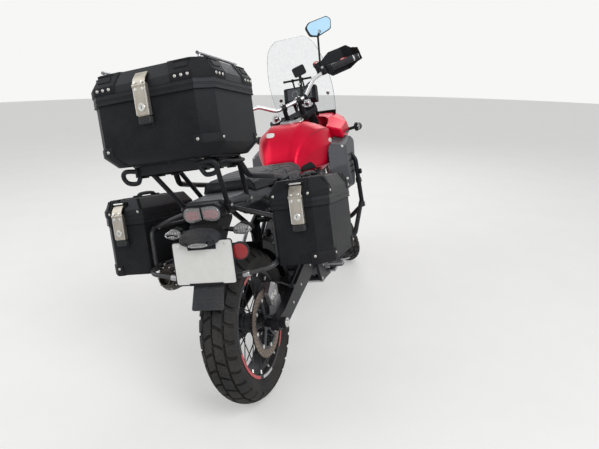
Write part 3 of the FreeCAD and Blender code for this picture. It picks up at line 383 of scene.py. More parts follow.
def mats():
    """The material set, made once from the panel's colours."""
    if MATS:
        return MATS
    s = settings()
    red, case, black = tuple(s.paint), tuple(s.case_black), tuple(s.plastic)
    MATS.update(
        paint=surface("crimson_paint", red, 0.34, metal=0.45, vary=0.05, scale=14, coat=0.08, grain=(900, 0.02),
                      spec=0.1, dust=0.01),
        case=surface("powder_coat", case, 0.5, vary=0.16, scale=25, grain=(1500, 0.10), spec=0.16, dust=0.03),
        case_lid=surface("powder_coat_lid", case, 0.46, vary=0.16, scale=25, grain=(1500, 0.12),
                         spec=0.22, dust=0.04),
        plastic=surface("moulded_black", black, 0.55, vary=0.15, scale=60, grain=(1200, 0.14), spec=0.2, dust=0.03),
        grey=surface("moulded_grey", tuple(s.grey), 0.5, vary=0.10, scale=50, grain=(1100, 0.12), dust=0.12),
        cap=surface("corner_cap", (0.008, 0.008, 0.009), 0.6, vary=0.2, scale=80, grain=(1400, 0.16),
                    spec=0.18, dust=0.03),
        frame=surface("frame_enamel", (0.010, 0.010, 0.012), 0.4, vary=0.15, scale=50, grain=(700, 0.05), spec=0.22,
                      dust=0.04),
        engine=surface("cast_grey", (0.10, 0.10, 0.11), 0.5, metal=0.75, vary=0.18, scale=40, grain=(500, 0.18),
                       dust=0.22),
        silver=surface("bright_alloy", (0.60, 0.60, 0.61), 0.3, metal=1.0, vary=0.08, scale=90, grain=(800, 0.04),
                       dust=0.05),
        satin=surface("satin_alloy", (0.40, 0.40, 0.42), 0.38, metal=0.9, vary=0.10, scale=70, grain=(700, 0.06),
                      dust=0.15),
        steel=surface("plain_steel", (0.38, 0.36, 0.34), 0.36, metal=1.0, vary=0.15, scale=30, grain=(400, 0.06),
                      streak="y", dust=0.2),
        disc=surface("dusty_disc", (0.22, 0.17, 0.135), 0.5, metal=0.6, vary=0.25, scale=24, grain=(300, 0.06),
                     dust=0.25),
        # The exhaust's near-black steel colour is painted shade, standing in for the shade under the left case; the
        # dust on it is real dust
        soot=surface("dark_steel", (0.07, 0.062, 0.056), 0.42, metal=0.85, vary=0.2, scale=30, grain=(400, 0.06),
                     streak="y", dust=0.12),
        bolt=surface("zinc_bolt", (0.62, 0.62, 0.60), 0.3, metal=1.0, vary=0.1, scale=200, grain=(900, 0.05)),
        tyre=surface("tread_rubber", (0.024, 0.023, 0.023), 0.82, vary=0.22, scale=30, grain=(600, 0.25),
                     spec=0.25, dust=0.16),
        rubber=surface("soft_rubber", (0.02, 0.02, 0.021), 0.7, vary=0.2, scale=120, grain=(900, 0.15), dust=0.08),
        wheel=surface("black_rim", (0.014, 0.014, 0.016), 0.4, metal=0.3, vary=0.2, scale=40, grain=(500, 0.06),
                      dust=0.18),
        seat=surface("seat_cover", (0.010, 0.010, 0.011), 0.62, vary=0.2, scale=70, grain=(650, 0.35), sheen=0.12,
                     dust=0.04),
        plate=surface("blank_plate", (0.80, 0.80, 0.78), 0.35, vary=0.03, scale=30, grain=(500, 0.03), dust=0.08),
        red_mark=surface("red_accent", (0.55, 0.02, 0.03), 0.35, vary=0.08, scale=60, coat=0.4, grain=(700, 0.03)),
        glass=clear("screen_clear", (0.90, 0.92, 0.93), 0.02, 1.0, ior=1.12),
        smoke=clear("smoked_edge", (0.55, 0.57, 0.58), 0.1, 0.8, ior=1.2),
        lens=clear("lens_clear", (0.93, 0.93, 0.95), 0.08, 0.75),
        red_lens=clear("lens_red", (0.75, 0.05, 0.06), 0.12, 0.55),
        # Bluish metal colour of the mirror face: a painted reflection of blue sky
        mirror=surface("mirror_face", (0.075, 0.115, 0.15), 0.05, metal=1.0, vary=0.03, scale=10),
        dark=surface("deep_black", (0.008, 0.008, 0.009), 0.5, vary=0.3, scale=90, grain=(600, 0.05)),
        display=surface("dark_display", (0.015, 0.02, 0.025), 0.1, vary=0.2, scale=30, coat=1.0),
        flap=surface("dusty_flap", (0.030, 0.031, 0.035), 0.75, vary=0.18, scale=40, grain=(500, 0.15),
                     spec=0.3, dust=0.18),
        hoop=surface("satin_tube", (0.05, 0.05, 0.053), 0.42, metal=0.6, vary=0.15, scale=60, grain=(700, 0.05),
                     dust=0.15),
        latch=surface("dusty_latch", (0.42, 0.39, 0.34), 0.42, metal=0.85, vary=0.14, scale=60, grain=(700, 0.06),
                      streak="z", dust=0.25),
        rivet=surface("dull_rivet", (0.46, 0.45, 0.43), 0.4, metal=0.9, vary=0.1, scale=200, grain=(900, 0.05)),
        spring=surface("grey_spring", (0.16, 0.16, 0.17), 0.35, metal=0.5, vary=0.1, scale=60, grain=(600, 0.04)),
    )
    return MATS


# Tyres

TYRES = {
    "front": Spec(radius=329.0, half=56.0, crown=64.0, seat=241.3, bead=31.75, axle=FRONT_AXLE, pitches=36),
    "rear": Spec(radius=322.0, half=75.0, crown=86.0, seat=215.9, bead=50.8, axle=REAR_AXLE, pitches=30),
}
# Tread rows: inner and outer edge as shares of the crown, start within the pitch, share of the pitch
TREAD_ROWS = [(0.05, 0.47, 0.00, 0.80), (0.57, 1.10, 0.46, 0.76)]


def crown_point(t, s, theta, down):
    """Point on the tyre: s across the crown, theta round the axle, down below the tread's face."""
    edge = math.asin((t.half - 4) / t.crown)
    phi, rho = s * edge, t.crown - down
    x = rho * math.sin(phi)
    r = t.radius - t.crown + rho * math.cos(phi)
    y, z = t.axle
    return (x, y + r * math.sin(theta), z + r * math.cos(theta))


def tread_block(shape, t, depth, groove, s0, s1, a0, share, side):
    """One rubber block with a bevelled top, curved across the tyre."""
    pitch = 2 * math.pi / t.pitches
    arc = abs(s1 - s0) * math.asin((t.half - 4) / t.crown) * t.crown
    length = pitch * share * t.radius - groove * 0.3
    nu, nv = 5, 4

    def at(u, v, down):
        s = s0 + (s1 - s0) * u
        sweep = 0.55 * math.sin(abs(s) * 1.7) ** 2
        theta = pitch * (a0 + share * v + sweep)
        return crown_point(t, side * s, theta, down)

    bu, bv = 1.3 / arc, 1.3 / length
    top = [at(bu + (1 - 2 * bu) * i / nu, bv + (1 - 2 * bv) * j / nv, 0.0)
           for j in range(nv + 1) for i in range(nu + 1)]
    faces, edge = grid(nu, nv)
    walk = [(k % (nu + 1) / nu, k // (nu + 1) / nv) for k in edge]
    mid = [at(u, v, 1.1) for u, v in walk]
    low = [at(u + (u - 0.5) * 1.6 / arc, v + (v - 0.5) * 1.6 / length, depth + 1.0) for u, v in walk]
    n, k = len(top), len(walk)
    for i in range(k):
        j = (i + 1) % k
        faces += [(edge[i], edge[j], n + j, n + i), (n + i, n + j, n + k + j, n + k + i)]
    shape.add(top + mid + low, faces)


def tyre_shape(t, depth, groove):
    shape = Shape()
    edge = math.asin((t.half - 4) / t.crown)
    rs = t.radius - t.crown + t.crown * math.cos(edge)
    b, seat, half = t.bead, t.seat, t.half
    floor = [(math.sin(edge * k / 8) * (t.crown - depth),
              t.radius - t.crown + (t.crown - depth) * math.cos(edge * k / 8)) for k in range(8, -1, -1)]
    wall = [(b, seat), (b + 1.5, seat + 4), (b + 3, seat + 11), (b + 5.5, seat + 14), (b + 8, seat + 20)]
    low, high = seat + 20, floor[0][1] - 6
    for k in range(1, 7):
        u = k / 7
        swell = math.sin(u * math.pi) ** 0.8
        x = (b + 8) * (1 - u) + (half - 7) * u + swell * (half - (b + half) / 2) * 0.28
        rib = 0.9 if k in (2, 5) else 0.0
        wall.append((min(half - 1, x + rib), low + (high - low) * u))
    wall.append((half - 4, rs - 9))
    side = wall + floor
    ring = [(x, r) for x, r in side] + [(-x, r) for x, r in reversed(side[:-1])]
    y, z = t.axle
    shape.lathe((0, y, z), LEFT, [(x, r) for x, r in ring], 120, True)
    for side in (-1, 1):
        for s0, s1, a0, share in TREAD_ROWS:
            for p in range(t.pitches):
                tread_block(shape, t, depth, groove, s0, s1, p + a0 + (0.5 if side < 0 else 0.0), share, side)
    return shape


# Wheels

def drilled_ring(shape, x, face, y, z, r0, r1, rows, count, hole):
    """Flat ring with rows of round holes; x is its plane and face +1 or -1 the way it looks."""
    n = 12
    for j in range(rows):
        ra, rb = r0 + (r1 - r0) * j / rows, r0 + (r1 - r0) * (j + 1) / rows
        rm = (ra + rb) / 2
        for i in range(count):
            a = 2 * math.pi * (i + 0.5 * (j % 2)) / count
            w = math.pi / count
            ring_out, ring_in = [], []
            for k in range(n):
                f = k / n * 4
                q, u = int(f), f - int(f)
                da, rr = [(-w + 2 * w * u, ra), (w, ra + (rb - ra) * u), (w - 2 * w * u, rb),
                          (-w, rb - (rb - ra) * u)][q]
                ring_out.append((x, y + rr * math.sin(a + da), z + rr * math.cos(a + da)))
                t = math.atan2(rr - rm, rr * da)
                dy, dr = hole * math.cos(t), hole * math.sin(t)
                aa = a + dy / rm
                ring_in.append((x, y + (rm + dr) * math.sin(aa), z + (rm + dr) * math.cos(aa)))
            shape.add(ring_out + ring_in, [f[::face] for f in hoops(2, n)])


def brake_disc(x, y, z, r, bolts):
    """Steel disc skin over the plain ring: drilled faces, edge bands and floating buttons."""
    s = Shape()
    t = 2.5
    for side in (-1, 1):
        drilled_ring(s, x + side * (t + 0.35), side, y, z, r - 33, r - 1.0, 3, 36, 3.6)
    for rr in (r - 1.0, r - 33):
        s.add([(x + h * (t + 0.35), y + rr * c, z + rr * d) for h in (-1, 1) for c, d in around(108)], hoops(2, 108))
    buttons = Shape()
    for c, d in around(bolts):
        for side in (-1, 1):
            buttons.lathe((x, y + (r - 41) * c, z + (r - 41) * d), (side, 0, 0),
                          [(2.0, 8.5), (3.6, 8.5), (4.2, 7.6), (4.2, 4), (3.0, 3.6)], 14)
    return s, buttons


def spoke_ends(t, side_x, hub_r, spokes=16):
    """Nipples at the rim and bent heads at the hub flange of each spoke."""
    s = Shape()
    y, z = t.axle
    seat, bead = t.seat, t.bead
    step = 360.0 / spokes
    for side in (-1, 1):
        for i in range(spokes):
            a = math.radians(i * step + (step / 2 if side > 0 else 0))
            lead = math.radians(28 if i % 2 else -28)
            r0, r1 = hub_r - 7, seat - 4
            p = vec(side * side_x, y + r0 * math.sin(a + lead), z + r0 * math.cos(a + lead))
            q = vec(side * (bead - 4), y + r1 * math.sin(a), z + r1 * math.cos(a))
            d = (q - p).normalized()
            s.lathe(q - d * 20, d, [(0, 2.4), (0.5, 3.4), (8, 3.6), (9, 4.6), (16, 4.6), (17, 3.4)], 8)
            s.lathe((side * (side_x + 3.5), p.y, p.z), (side, 0, 0), [(0, 4.6), (1.6, 4.4), (2.6, 2.8)], 10)
    return s


def rim_band(t, a0, a1, x0, x1, lift, steps=28):
    """Strip of tape round part of the rim's outer wall."""
    s = Shape()
    y, z = t.axle
    rows = []
    for i in range(steps + 1):
        a = math.radians(a0 + (a1 - a0) * i / steps)
        for x, r in ((x0, t.seat - 4 + lift), (x0, t.seat + 9.5), (x1, t.seat + 9.5),
                     (x1, t.seat - 4 + lift)):
            rows.append((x, y + r * math.sin(a), z + r * math.cos(a)))
    return s.add(rows, tube_faces(steps + 1, 4))


def dress_wheels():
    s = settings()
    for end, body, place, node in (("front", "front_wheel_set", FORK, "front_tyre"),
                                   ("rear", "rear_wheel_set", BIKE, "rear_tyre")):
        t = TYRES[end]
        tyre = piece(end + "_tread_tyre", tyre_shape(t, s.tread_depth / MM, s.groove / MM), "tyre", body,
                     place, sharp=38)
        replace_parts(tyre, node)
        y, z = t.axle
        hub = 46 if end == "front" else 62
        flange = 40 if end == "front" else 38
        piece(end + "_spoke_ends", spoke_ends(t, flange, hub), "bolt", body, place)
        discs = (-72.0, 72.0) if end == "front" else (-78.0,)
        r = 155.0 if end == "front" else 141.0
        for x in discs:
            skin, buttons = brake_disc(x, y, z, r, 10 if end == "front" else 8)
            tag = "left" if x > 0 else "right"
            piece("%s_disc_skin_%s" % (end, tag), skin, "disc", body, place)
            piece("%s_disc_buttons_%s" % (end, tag), buttons, "bolt", body, place)
        b = t.bead
        for k, (a0, a1) in enumerate(((95, 150), (215, 262), (330, 380))):
            for side in (-1, 1):
                x0, x1 = sorted((side * (b + 5.2), side * (b + 6.0)))
                piece("%s_rim_tape_%d%s" % (end, k, "l" if side > 0 else "r"),
                      rim_band(t, a0, a1, x0, x1, 1.0), "red_mark", body, place)
        # Silver patch low on the right face of each rim
        silver_strip = rim_band(t, 158, 182, -b - 6.1, -b - 5.2, 1.0)
        piece(end + "_rim_silver_patch", silver_strip, "silver", body, place)
        hubs = Shape()
        for side in (-1, 1):
            hubs.lathe((0, y, z), (side, 0, 0), [(6, hub * 0.60), (6.5, hub * 0.66), (flange - 8, hub * 0.66),
                                                (flange - 6, hub * 0.8), (flange - 5, hub - 1)], 32)
            hubs.lathe((side * (flange + 4), y, z), (side, 0, 0), [(0, hub - 14), (1.2, hub - 15), (4, hub - 22)], 32)
        piece(end + "_hub_shells", hubs, "wheel", body, place)
        valve = Shape().lathe((4, y + (t.seat - 16) * math.sin(2.0), z + (t.seat - 16) * math.cos(2.0)),
                              (0, -math.sin(2.0), -math.cos(2.0)), [(-6, 4), (6, 4), (7, 3), (26, 3), (27, 4.2),
                                                                   (36, 4.2), (37, 3.4)], 10)
        piece(end + "_valve", valve, "rubber", body, place)


# Panels and pads shaped from the solids

def world_mesh(node):
    src = NODES[node]
    mesh = src.data.copy()
    mesh.transform(src.matrix_world)
    mesh.materials.clear()
    return mesh


def remeshed(name, node, voxel, rounds, shrink=0.0):
    """The node's form as an even mesh with soft edges."""
    obj = bpy.data.objects.new(name, world_mesh(node))
    bpy.context.scene.collection.objects.link(obj)
    grid = obj.modifiers.new("Even mesh", "REMESH")
    grid.mode = "VOXEL"
    grid.voxel_size = voxel * MM
    if rounds:
        soft = obj.modifiers.new("Soft edges", "SMOOTH")
        soft.factor = 0.5
        soft.iterations = rounds
    if shrink:
        inset = obj.modifiers.new("Inset", "DISPLACE")
        inset.strength = -shrink * MM
        inset.mid_level = 0.0
    bake(obj)
    return obj


def bake(obj):
    """Applies the object's modifiers to its mesh."""
    graph = bpy.context.evaluated_depsgraph_get()
    graph.update()
    mesh = bpy.data.meshes.new_from_object(obj.evaluated_get(graph))
    obj.modifiers.clear()
    obj.data = mesh
    for f in mesh.polygons:
        f.use_smooth = True


def soft_panel(name, node, mat, voxel=5.0, rounds=8, body="chassis"):
    """Moulded panel that takes the place of its solid."""
    obj = remeshed(name, node, voxel, rounds)
    obj.data.materials.append(mats()[mat])
    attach(obj, body)
    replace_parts(obj, node)
    return obj


class Skin:
    """Rays onto a finished panel, asked in millimetres of a drawing frame."""
    def __init__(self, objs, place):
        verts, faces = [], []
        for o in objs:
            n = len(verts)
            verts += [o.matrix_world @ v.co for v in o.data.vertices]
            faces += [tuple(i + n for i in p.vertices) for p in o.data.polygons]
        self.tree = BVHTree.FromPolygons(verts, faces)
        self.place = place
        self.back = place.inverted()

    def hit(self, start, way):
        o = self.place @ (Vector(start) * MM)
        d = (self.place.to_3x3() @ Vector(way)).normalized()
        p, n, _, _ = self.tree.ray_cast(o, d)
        if p is None:
            return None, None
        q = self.back @ p / MM
        m = (self.back.to_3x3() @ n).normalized()
        return q, (m if m.dot(Vector(way)) < 0 else -m)


def flat_spot(start, way, a, b):
    """Point at start along the ray's axis, with a and b on the two axes across it."""
    axis = max(range(3), key=lambda i: abs(way[i]))
    o = [a, b]
    o.insert(axis, start)
    return o


def patch(shape, skin, corners, start, way, lift=1.5, nu=14, nv=10, round_off=0.18):
    """Raised patch laid on a panel: four corners in the two axes across the ray."""
    c = [Vector(p) for p in corners]

    def spot(u, v):
        uu, vv = 2 * u - 1, 2 * v - 1
        k = 1 - round_off * (uu * uu * vv * vv)
        u, v = 0.5 + uu * k / 2, 0.5 + vv * k / 2
        p = c[0] * (1 - u) * (1 - v) + c[1] * u * (1 - v) + c[2] * u * v + c[3] * (1 - u) * v
        return skin.hit(flat_spot(start, way, *p), way)

    faces, edge = grid(nu, nv)
    hits = [spot(i / nu, j / nv) for j in range(nv + 1) for i in range(nu + 1)]
    if any(q is None for q, n in hits):
        return shape
    rim = set(edge)
    top = [q + n * (lift * (0.45 if i in rim else 1.0)) for i, (q, n) in enumerate(hits)]
    low = [hits[i][0] - hits[i][1] for i in edge]
    k = len(top)
    low_ring = list(range(k, k + len(edge)))
    faces += [(a, e, f, b) for (a, b), (e, f) in zip(pairs(edge), pairs(low_ring))]
    return shape.add(top + low, faces)


def surface_line(skin, points, start, way, lift=0.5):
    """Points of a line drawn on a panel."""
    hits = [skin.hit(flat_spot(start, way, *p), way) for p in points]
    return [q + n * lift for q, n in hits if q is not None]


# Seats

SEATS = {
    "rider": dict(node="rider_seat", channels=(60, 120, 180, 240, 300), y0=-4, y1=340, half=142),
    "pillion": dict(node="pillion_seat", channels=(400, 470, 540, 610), y0=330, y1=690, half=138),
}


def swell(obj, pressure, cap):
    """Cloth under pressure, with the underside held, then the result kept within the cap."""
    mesh = obj.data
    rest = [v.co.copy() for v in mesh.vertices]
    down = (BIKE.to_3x3() @ Vector(DOWN)).normalized()
    held = obj.vertex_groups.new(name="held")
    held.add([v.index for v in mesh.vertices if v.normal.dot(down) > 0.6], 1.0, "REPLACE")
    cloth = obj.modifiers.new("Swell", "CLOTH")
    c = cloth.settings
    c.quality = 6
    c.mass = 0.3
    c.tension_stiffness = c.compression_stiffness = 25
    c.shear_stiffness = 15
    c.bending_stiffness = 4
    c.use_pressure = True
    c.uniform_pressure_force = pressure
    c.vertex_group_mass = "held"
    c.effector_weights.gravity = 0
    scene = bpy.context.scene
    for f in range(1, 21):
        scene.frame_set(f)
    graph = bpy.context.evaluated_depsgraph_get()
    puffed = obj.evaluated_get(graph).to_mesh()
    moved = [v.co.copy() for v in puffed.vertices]
    obj.evaluated_get(graph).to_mesh_clear()
    obj.modifiers.clear()
    scene.frame_set(1)
    for v, a, b in zip(mesh.vertices, rest, moved):
        d = b - a
        if d.length > cap:
            d *= cap / d.length
        v.co = a + d


def sew(obj, seat):
    """Presses the cross channels and the side panel's seam into the cover."""
    mesh = obj.data
    back = BIKE.inverted()
    way = BIKE.to_3x3()
    normals = [v.normal.copy() for v in mesh.vertices]
    for v, n in zip(mesh.vertices, normals):
        p = back @ v.co / MM
        m = way.transposed() @ n
        if m.z > 0.35:
            ease = max(0.0, min(1.0, (seat["half"] - 34 - abs(p.x)) / 14))
            dent = sum(3.2 * math.exp(-((p.y - y - 0.0012 * p.x ** 2) / 4.5) ** 2) for y in seat["channels"])
            v.co -= n * dent * ease * MM
        line = seat["half"] - 30
        v.co -= n * 2.4 * math.exp(-((abs(p.x) - line) / 3.5) ** 2) * MM * (1 if m.z > 0.2 else 0)


def dress_seats():
    s = settings()
    for name, seat in SEATS.items():
        obj = remeshed(name + "_seat_cover", seat["node"], 5.0, 4, shrink=3.0)
        swell(obj, s.seat_pressure, s.seat_cap)
        sub = obj.modifiers.new("Smooth cover", "SUBSURF")
        sub.levels = sub.render_levels = 1
        bake(obj)
        sew(obj, seat)
        obj.data.materials.clear()
        obj.data.materials.append(mats()["seat"])
        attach(obj, "chassis")
        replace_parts(obj, seat["node"])
        skin = Skin([obj], BIKE)
        trim = Shape()
        for side in (-1, 1):
            line = [(side * (seat["half"] - 22), seat["y0"] + 30 + (seat["y1"] - seat["y0"] - 60) * i / 12)
                    for i in range(13)]
            pts = surface_line(skin, line, 1100, DOWN, 0.6)
            trim.tube(pts, 2.0, 8, 3)
        piece(name + "_seat_piping", trim, "rubber")


# Cases

CASE_CHAMFER, LID_GROW = 46.0, 5.0
SLOPE_IN, SLOPE_UP = 24.0, 42.0


def case_plan(c, grow):
    """Outline of a case at a distance outside its body, seen from above."""
    x0, x1 = c.x0 - grow, c.x1 + grow
    y0, y1 = c.rear - c.length - grow, c.rear + grow
    k = CASE_CHAMFER + grow * 0.41
    inner = k if c.x0 < 0 else 8
    return [Vector(p) for p in ((x0 + inner, y0), (x1 - k, y0), (x1, y0 + k), (x1, y1 - k), (x1 - k, y1),
                                (x0 + inner, y1), (x0, y1 - inner), (x0, y0 + inner))]


def corner_cap(shape, c, k, profile, reach):
    """Cap over one bevelled corner; profile is a closed ring of (distance outside the body, height)."""
    cols = []
    for g, z in profile:
        p = case_plan(c, g)
        a, b, d, e = (p[(k + i) % 8] for i in (-1, 0, 1, 2))
        ab, bd, de = (b - a).normalized(), (d - b).normalized(), (e - d).normalized()
        cols.append([(q.x, q.y, z) for q in (b - ab * reach, b - ab * 5, b + bd * 5, d - bd * 5, d + de * 5,
                                             d + de * reach)])
    shape.add([col[j] for j in range(6) for col in cols], tube_faces(6, len(profile)))


def band(shape, c, g, z0, z1, out=1.2):
    """Raised rib all round the case."""
    rows = [(g - 0.8, z0 - 0.6), (g + out, z0 + 0.5), (g + out, z1 - 0.5), (g - 0.8, z1 + 0.6)]
    shape.add([(*p, z) for gg, z in rows for p in case_plan(c, gg)], hoops(4, 8, True))


def corner_faces(c, k, g):
    """The two faces beside a bevelled corner: their end at the corner, the way along them and out of them."""
    p = case_plan(c, g)
    a, b, d, e = (p[(k + i) % 8] for i in (-1, 0, 1, 2))
    ab, de = (b - a).normalized(), (e - d).normalized()
    return ((b, -ab, Vector((ab.y, -ab.x))), (d, de, Vector((de.y, -de.x))))


def set_rivet(shape, at, way, r):
    shape.lathe(at, way, [(-1, r), (0.7, r), (1.8, r * 0.86), (2.7, r * 0.5), (2.8, 0.2)], 14)


def corner_rivets(shape, c, k, g, z, insets, r):
    for q, along, out in corner_faces(c, k, g):
        for inset in insets:
            set_rivet(shape, (*(q + along * inset), z), (*out, 0), r)


def cap_grips(shape, c, k, g, z0, z1, inset, spans):
    """Raised bars on the sloping part of a lid cap."""
    for q, along, out in corner_faces(c, k, g):
        up = vec(-out.x * SLOPE_IN, -out.y * SLOPE_IN, SLOPE_UP).normalized()
        n = vec(out.x * SLOPE_UP, out.y * SLOPE_UP, SLOPE_IN).normalized()
        for s0, s1, h0, h1 in spans:
            o = vec(q.x, q.y, z0)
            a3 = vec(along.x, along.y, 0)
            rise = (z1 - z0) / up.z
            ring = [o + a3 * (inset + t) + up * (rise * h) + n * 1.8
                    for t, h in ((s0, h0), (s1, h0), (s1, h1), (s0, h1))]
            shape.slab(rounded(ring, 2.5), n, 3.6, 1.4)


def ribbon(shape, mid, path, half, thick, edge=1.2):
    """Strip of sheet along a path in the plane across the case, from one side to the other."""
    pts = [vec(0, y, z) for y, z in path]
    n = len(pts)
    rows = []
    for i, p in enumerate(pts):
        d = (pts[min(i + 1, n - 1)] - pts[max(i - 1, 0)]).normalized()
        out = vec(0, d.z, -d.y)
        for x, o in ((-half, 0), (-half, thick - edge), (-half + edge, thick), (half - edge, thick),
                     (half, thick - edge), (half, 0)):
            q = p + out * o
            rows.append((mid + x, q.y, q.z))
    shape.add(rows, tube_faces(n, 6))


def case_shell(shape, c, outer, inner):
    """Open moulding: the outer profile runs from the rim to the closed face, the inner one back."""
    rows = outer + inner
    last = 8 * (len(outer) - 1)
    faces = hoops(len(rows), 8, True)
    del faces[last:last + 8]
    faces += [tuple(range(last, last + 8)), tuple(reversed(range(last + 8, last + 16)))]
    shape.add([(*q, z) for g, z in rows for q in case_plan(c, g)], faces)


def hinge_at(c):
    """Hinge line of a case: its y and z, the middle and the half length of the pin."""
    half = (c.x1 - c.x0) / 2 - CASE_CHAMFER - 10
    return c.rear - c.length - LID_GROW - 7, c.floor + c.body - 6, (c.x0 + c.x1) / 2, half


def block(shape, x0, x1, y0, y1, z0, z1, edge=0.8):
    shape.slab(rect((x0, x1), (y0, y1), z0), UP, z1 - z0, edge)


def case_mouldings(tag, c, place, lid_body, top):
    """Lid with its long slope, and for the top case the body with its bevelled foot."""
    z0, zl = c.floor, c.floor + c.body
    zt, g = zl + c.lid, LID_GROW
    zs = zt - SLOPE_UP
    y, z, mid, half = hinge_at(c)
    face = c.rear - c.length
    lid = Shape()
    case_shell(lid, c, [(g, zl), (g, zs - 1.6), (g - 0.9, zs + 0.9), (g - SLOPE_IN + 0.9, zt - 1.6),
                        (g - SLOPE_IN - 1.6, zt)],
               [(g - SLOPE_IN - 3, zt - 3), (g - 3, zs - 1), (g - 3, zl)])
    for x in (mid - half * 0.45, mid + half * 0.45):
        lid.lathe((x - 9, y, z), LEFT, [(0, 4.1), (0, 7), (18, 7), (18, 4.1)], 20, True)
        block(lid, x - 9, x + 9, y + 2, face - 2.5, z + 6.2, z + 14)
        block(lid, x - 9, x + 9, y - 4, y + 4, z + 4.6, z + 14)
    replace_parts(piece(tag + "_lid_shell", lid, "case_lid", lid_body, place, sharp=25), tag + "_lid")
    if not top:
        return
    body, b = Shape(), c.base
    case_shell(body, c, [(0, zl + 27), (0, z0 + b + 1.4), (-0.9, z0 + b - 0.9), (-b + 1, z0 + 1), (-b - 1, z0)],
               [(-b - 2, z0 + 2.5), (-2.5, z0 + b + 0.5), (-2.5, zl + 27)])
    body.lathe((mid - half, y, z), LEFT, [(0, 3.6), (0.4, 4), (2 * half - 0.4, 4), (2 * half, 3.6)], 18)
    for x in (mid - half + 5, mid + half - 5):
        block(body, x - 5, x + 5, y - 5, face + 0.5, z - 7, z + 5)
    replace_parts(piece(tag + "_body_shell", body, "case", "chassis", place, sharp=25), tag + "_body")


def case_details(tag, c, place, lid_body, top):
    rivet = settings().rivet_radius / MM
    z0, zl = c.floor, c.floor + c.body
    zt = zl + c.lid
    zs = zt - SLOPE_UP
    zb = z0 + c.base
    corners = (1, 3, 5, 7) if c.x0 < 0 else (1, 3)
    mid, rear = (c.x0 + c.x1) / 2, c.rear
    caps, lid_caps, rivets, lid_rivets = Shape(), Shape(), Shape(), Shape()
    reach = 78 if top else 36
    cap_h = 28 if top else 40
    b = c.base
    low = [(2.4, zb + cap_h), (3.0, zb + cap_h - 2), (3.0, zb + 1.5), (1.6 - b, z0 - 2.0), (-b - 24, z0 - 2.2),
           (-b - 24, z0 + 1), (-b - 1, z0 + 1), (-1.5, zb + 0.5), (-1, zb + cap_h)]
    g = LID_GROW
    high = [(g - 1, zs - 22), (g + 2.2, zs - 22), (g + 2.8, zs - 20), (g + 2.8, zs + 1),
            (g - SLOPE_IN + 2.4, zt + 1.4), (g - SLOPE_IN - 20, zt + 2.2), (g - SLOPE_IN - 22, zt - 1),
            (g - SLOPE_IN, zt - 1), (g - 1, zs)]
    spots = (15, 37, 59) if top else (14,)
    for k in corners:
        corner_cap(caps, c, k, low, 27)
        corner_cap(lid_caps, c, k, high, reach)
        corner_rivets(rivets, c, k, 3.0, zb + (14 if top else 26), (12,), rivet)
        corner_rivets(lid_rivets, c, k, g + 2.8, zs - 9, spots, rivet)
        cap_grips(lid_caps, c, k, g, zs, zt, 0, [(14, 62, 0.30, 0.72), (8, 68, 0.82, 0.94)] if top
                  else [(6, 12, 0.1, 0.9), (18, 24, 0.1, 0.9)])
    piece(tag + "_body_caps", caps, "cap", "chassis", place, sharp=28)
    piece(tag + "_lid_caps", lid_caps, "cap", lid_body, place, sharp=28)
    piece(tag + "_body_rivets", rivets, "rivet", "chassis", place)
    if not top:
        set_rivet(lid_rivets, (c.x0 + 12, rear + g, zs - 9), REAR, rivet)
    piece(tag + "_lid_rivets", lid_rivets, "rivet", lid_body, place)
    ribs = Shape()
    band(ribs, c, g, zl + 0.5, zl + 5, 1.4)
    for z, h in ((zl + 12, 2.4), (zl + 17, 2.4), (zs - 25, 3.0)):
        band(ribs, c, g, z, z + h, 1.0)
    piece(tag + "_skirt_ribs", ribs, "case_lid", lid_body, place, sharp=25)
    base_rib = Shape()
    band(base_rib, c, 0, zl - 7, zl - 3, 1.0)
    if not top:
        band(base_rib, c, 0, zb + 2, zb + 7, 1.0)
    piece(tag + "_body_ribs", base_rib, "case", "chassis", place, sharp=25)
    # Latch: a strip bent over the lid's slope, hinge barrels, a plate with its lock, and the rubber catch
    y = rear + g
    hasp = Shape()
    box_ring = rect((mid - 22.5, mid + 22.5), y - 1, (zl - 56, zl + 43))
    hasp.slab(rounded(box_ring, 5), REAR, 15.6, 1.2)
    ribbon(hasp, mid, [(y + 14.2, zl - 52), (y + 14.2, zl + 40), (y + 13.2, zl + 47), (y + 8, zl + 58),
                       (y - 2, zl + 69), (y - 11, zl + 78)], 22.6, 3.2)
    hasp.lathe((mid - 25, y + 12, zl + 38), LEFT, [(0, 6.4), (1, 7.2), (49, 7.2), (50, 6.4)], 20)
    piece(tag + "_latch", hasp, "latch", lid_body, place, sharp=28)
    edges = Shape()
    for x in (mid - 21.5, mid + 21.5):
        edges.wire([(x, y + 16.6, zl - 52), (x, y + 16.6, zl + 30)], 1.5)
    for x in (mid - 13, mid + 13):
        edges.bolt((x, y + 17.2, zl + 26), REAR, 3.6, 2.4, False)
        edges.bolt((x, y + 17.2, zl + 47), (0, 1, 0.4), 3.2, 2.0, False)
    edges.lathe((mid, y + 17, zl - 29), REAR, [(0, 12.6), (2.6, 12.6), (3.6, 11.4), (3.6, 9.0), (2.4, 8.6), (2.4, 3)],
                26)
    piece(tag + "_latch_lock", edges, "bolt", lid_body, place)
    slit = Shape().slab(rect((mid - 1.1, mid + 1.1), y + 19.2, (zl - 34, zl - 24)), REAR, 0.5, 0.1)
    piece(tag + "_key_slit", slit, "dark", lid_body, place)
    pad = Shape().slab(rounded(rect((mid - 23, mid + 23), y - 1, (zl - 80, zl - 57)), 7), REAR, 16.0, 3.0)
    for k in range(3):
        pad.slab(rect((mid - 16, mid + 16), y + 14.5, (zl - 76 + 6 * k, zl - 73.5 + 6 * k)), REAR, 2.0, 0.6)
    piece(tag + "_latch_pad", pad, "rubber", lid_body, place, sharp=28)
    keeper = Shape().slab(rounded(rect((mid - 19, mid + 19), rear - 0.5, (zl - 94, zl - 70)), 6), REAR, 3.0, 1.2)
    piece(tag + "_latch_keeper", keeper, "cap", "chassis", place, sharp=28)
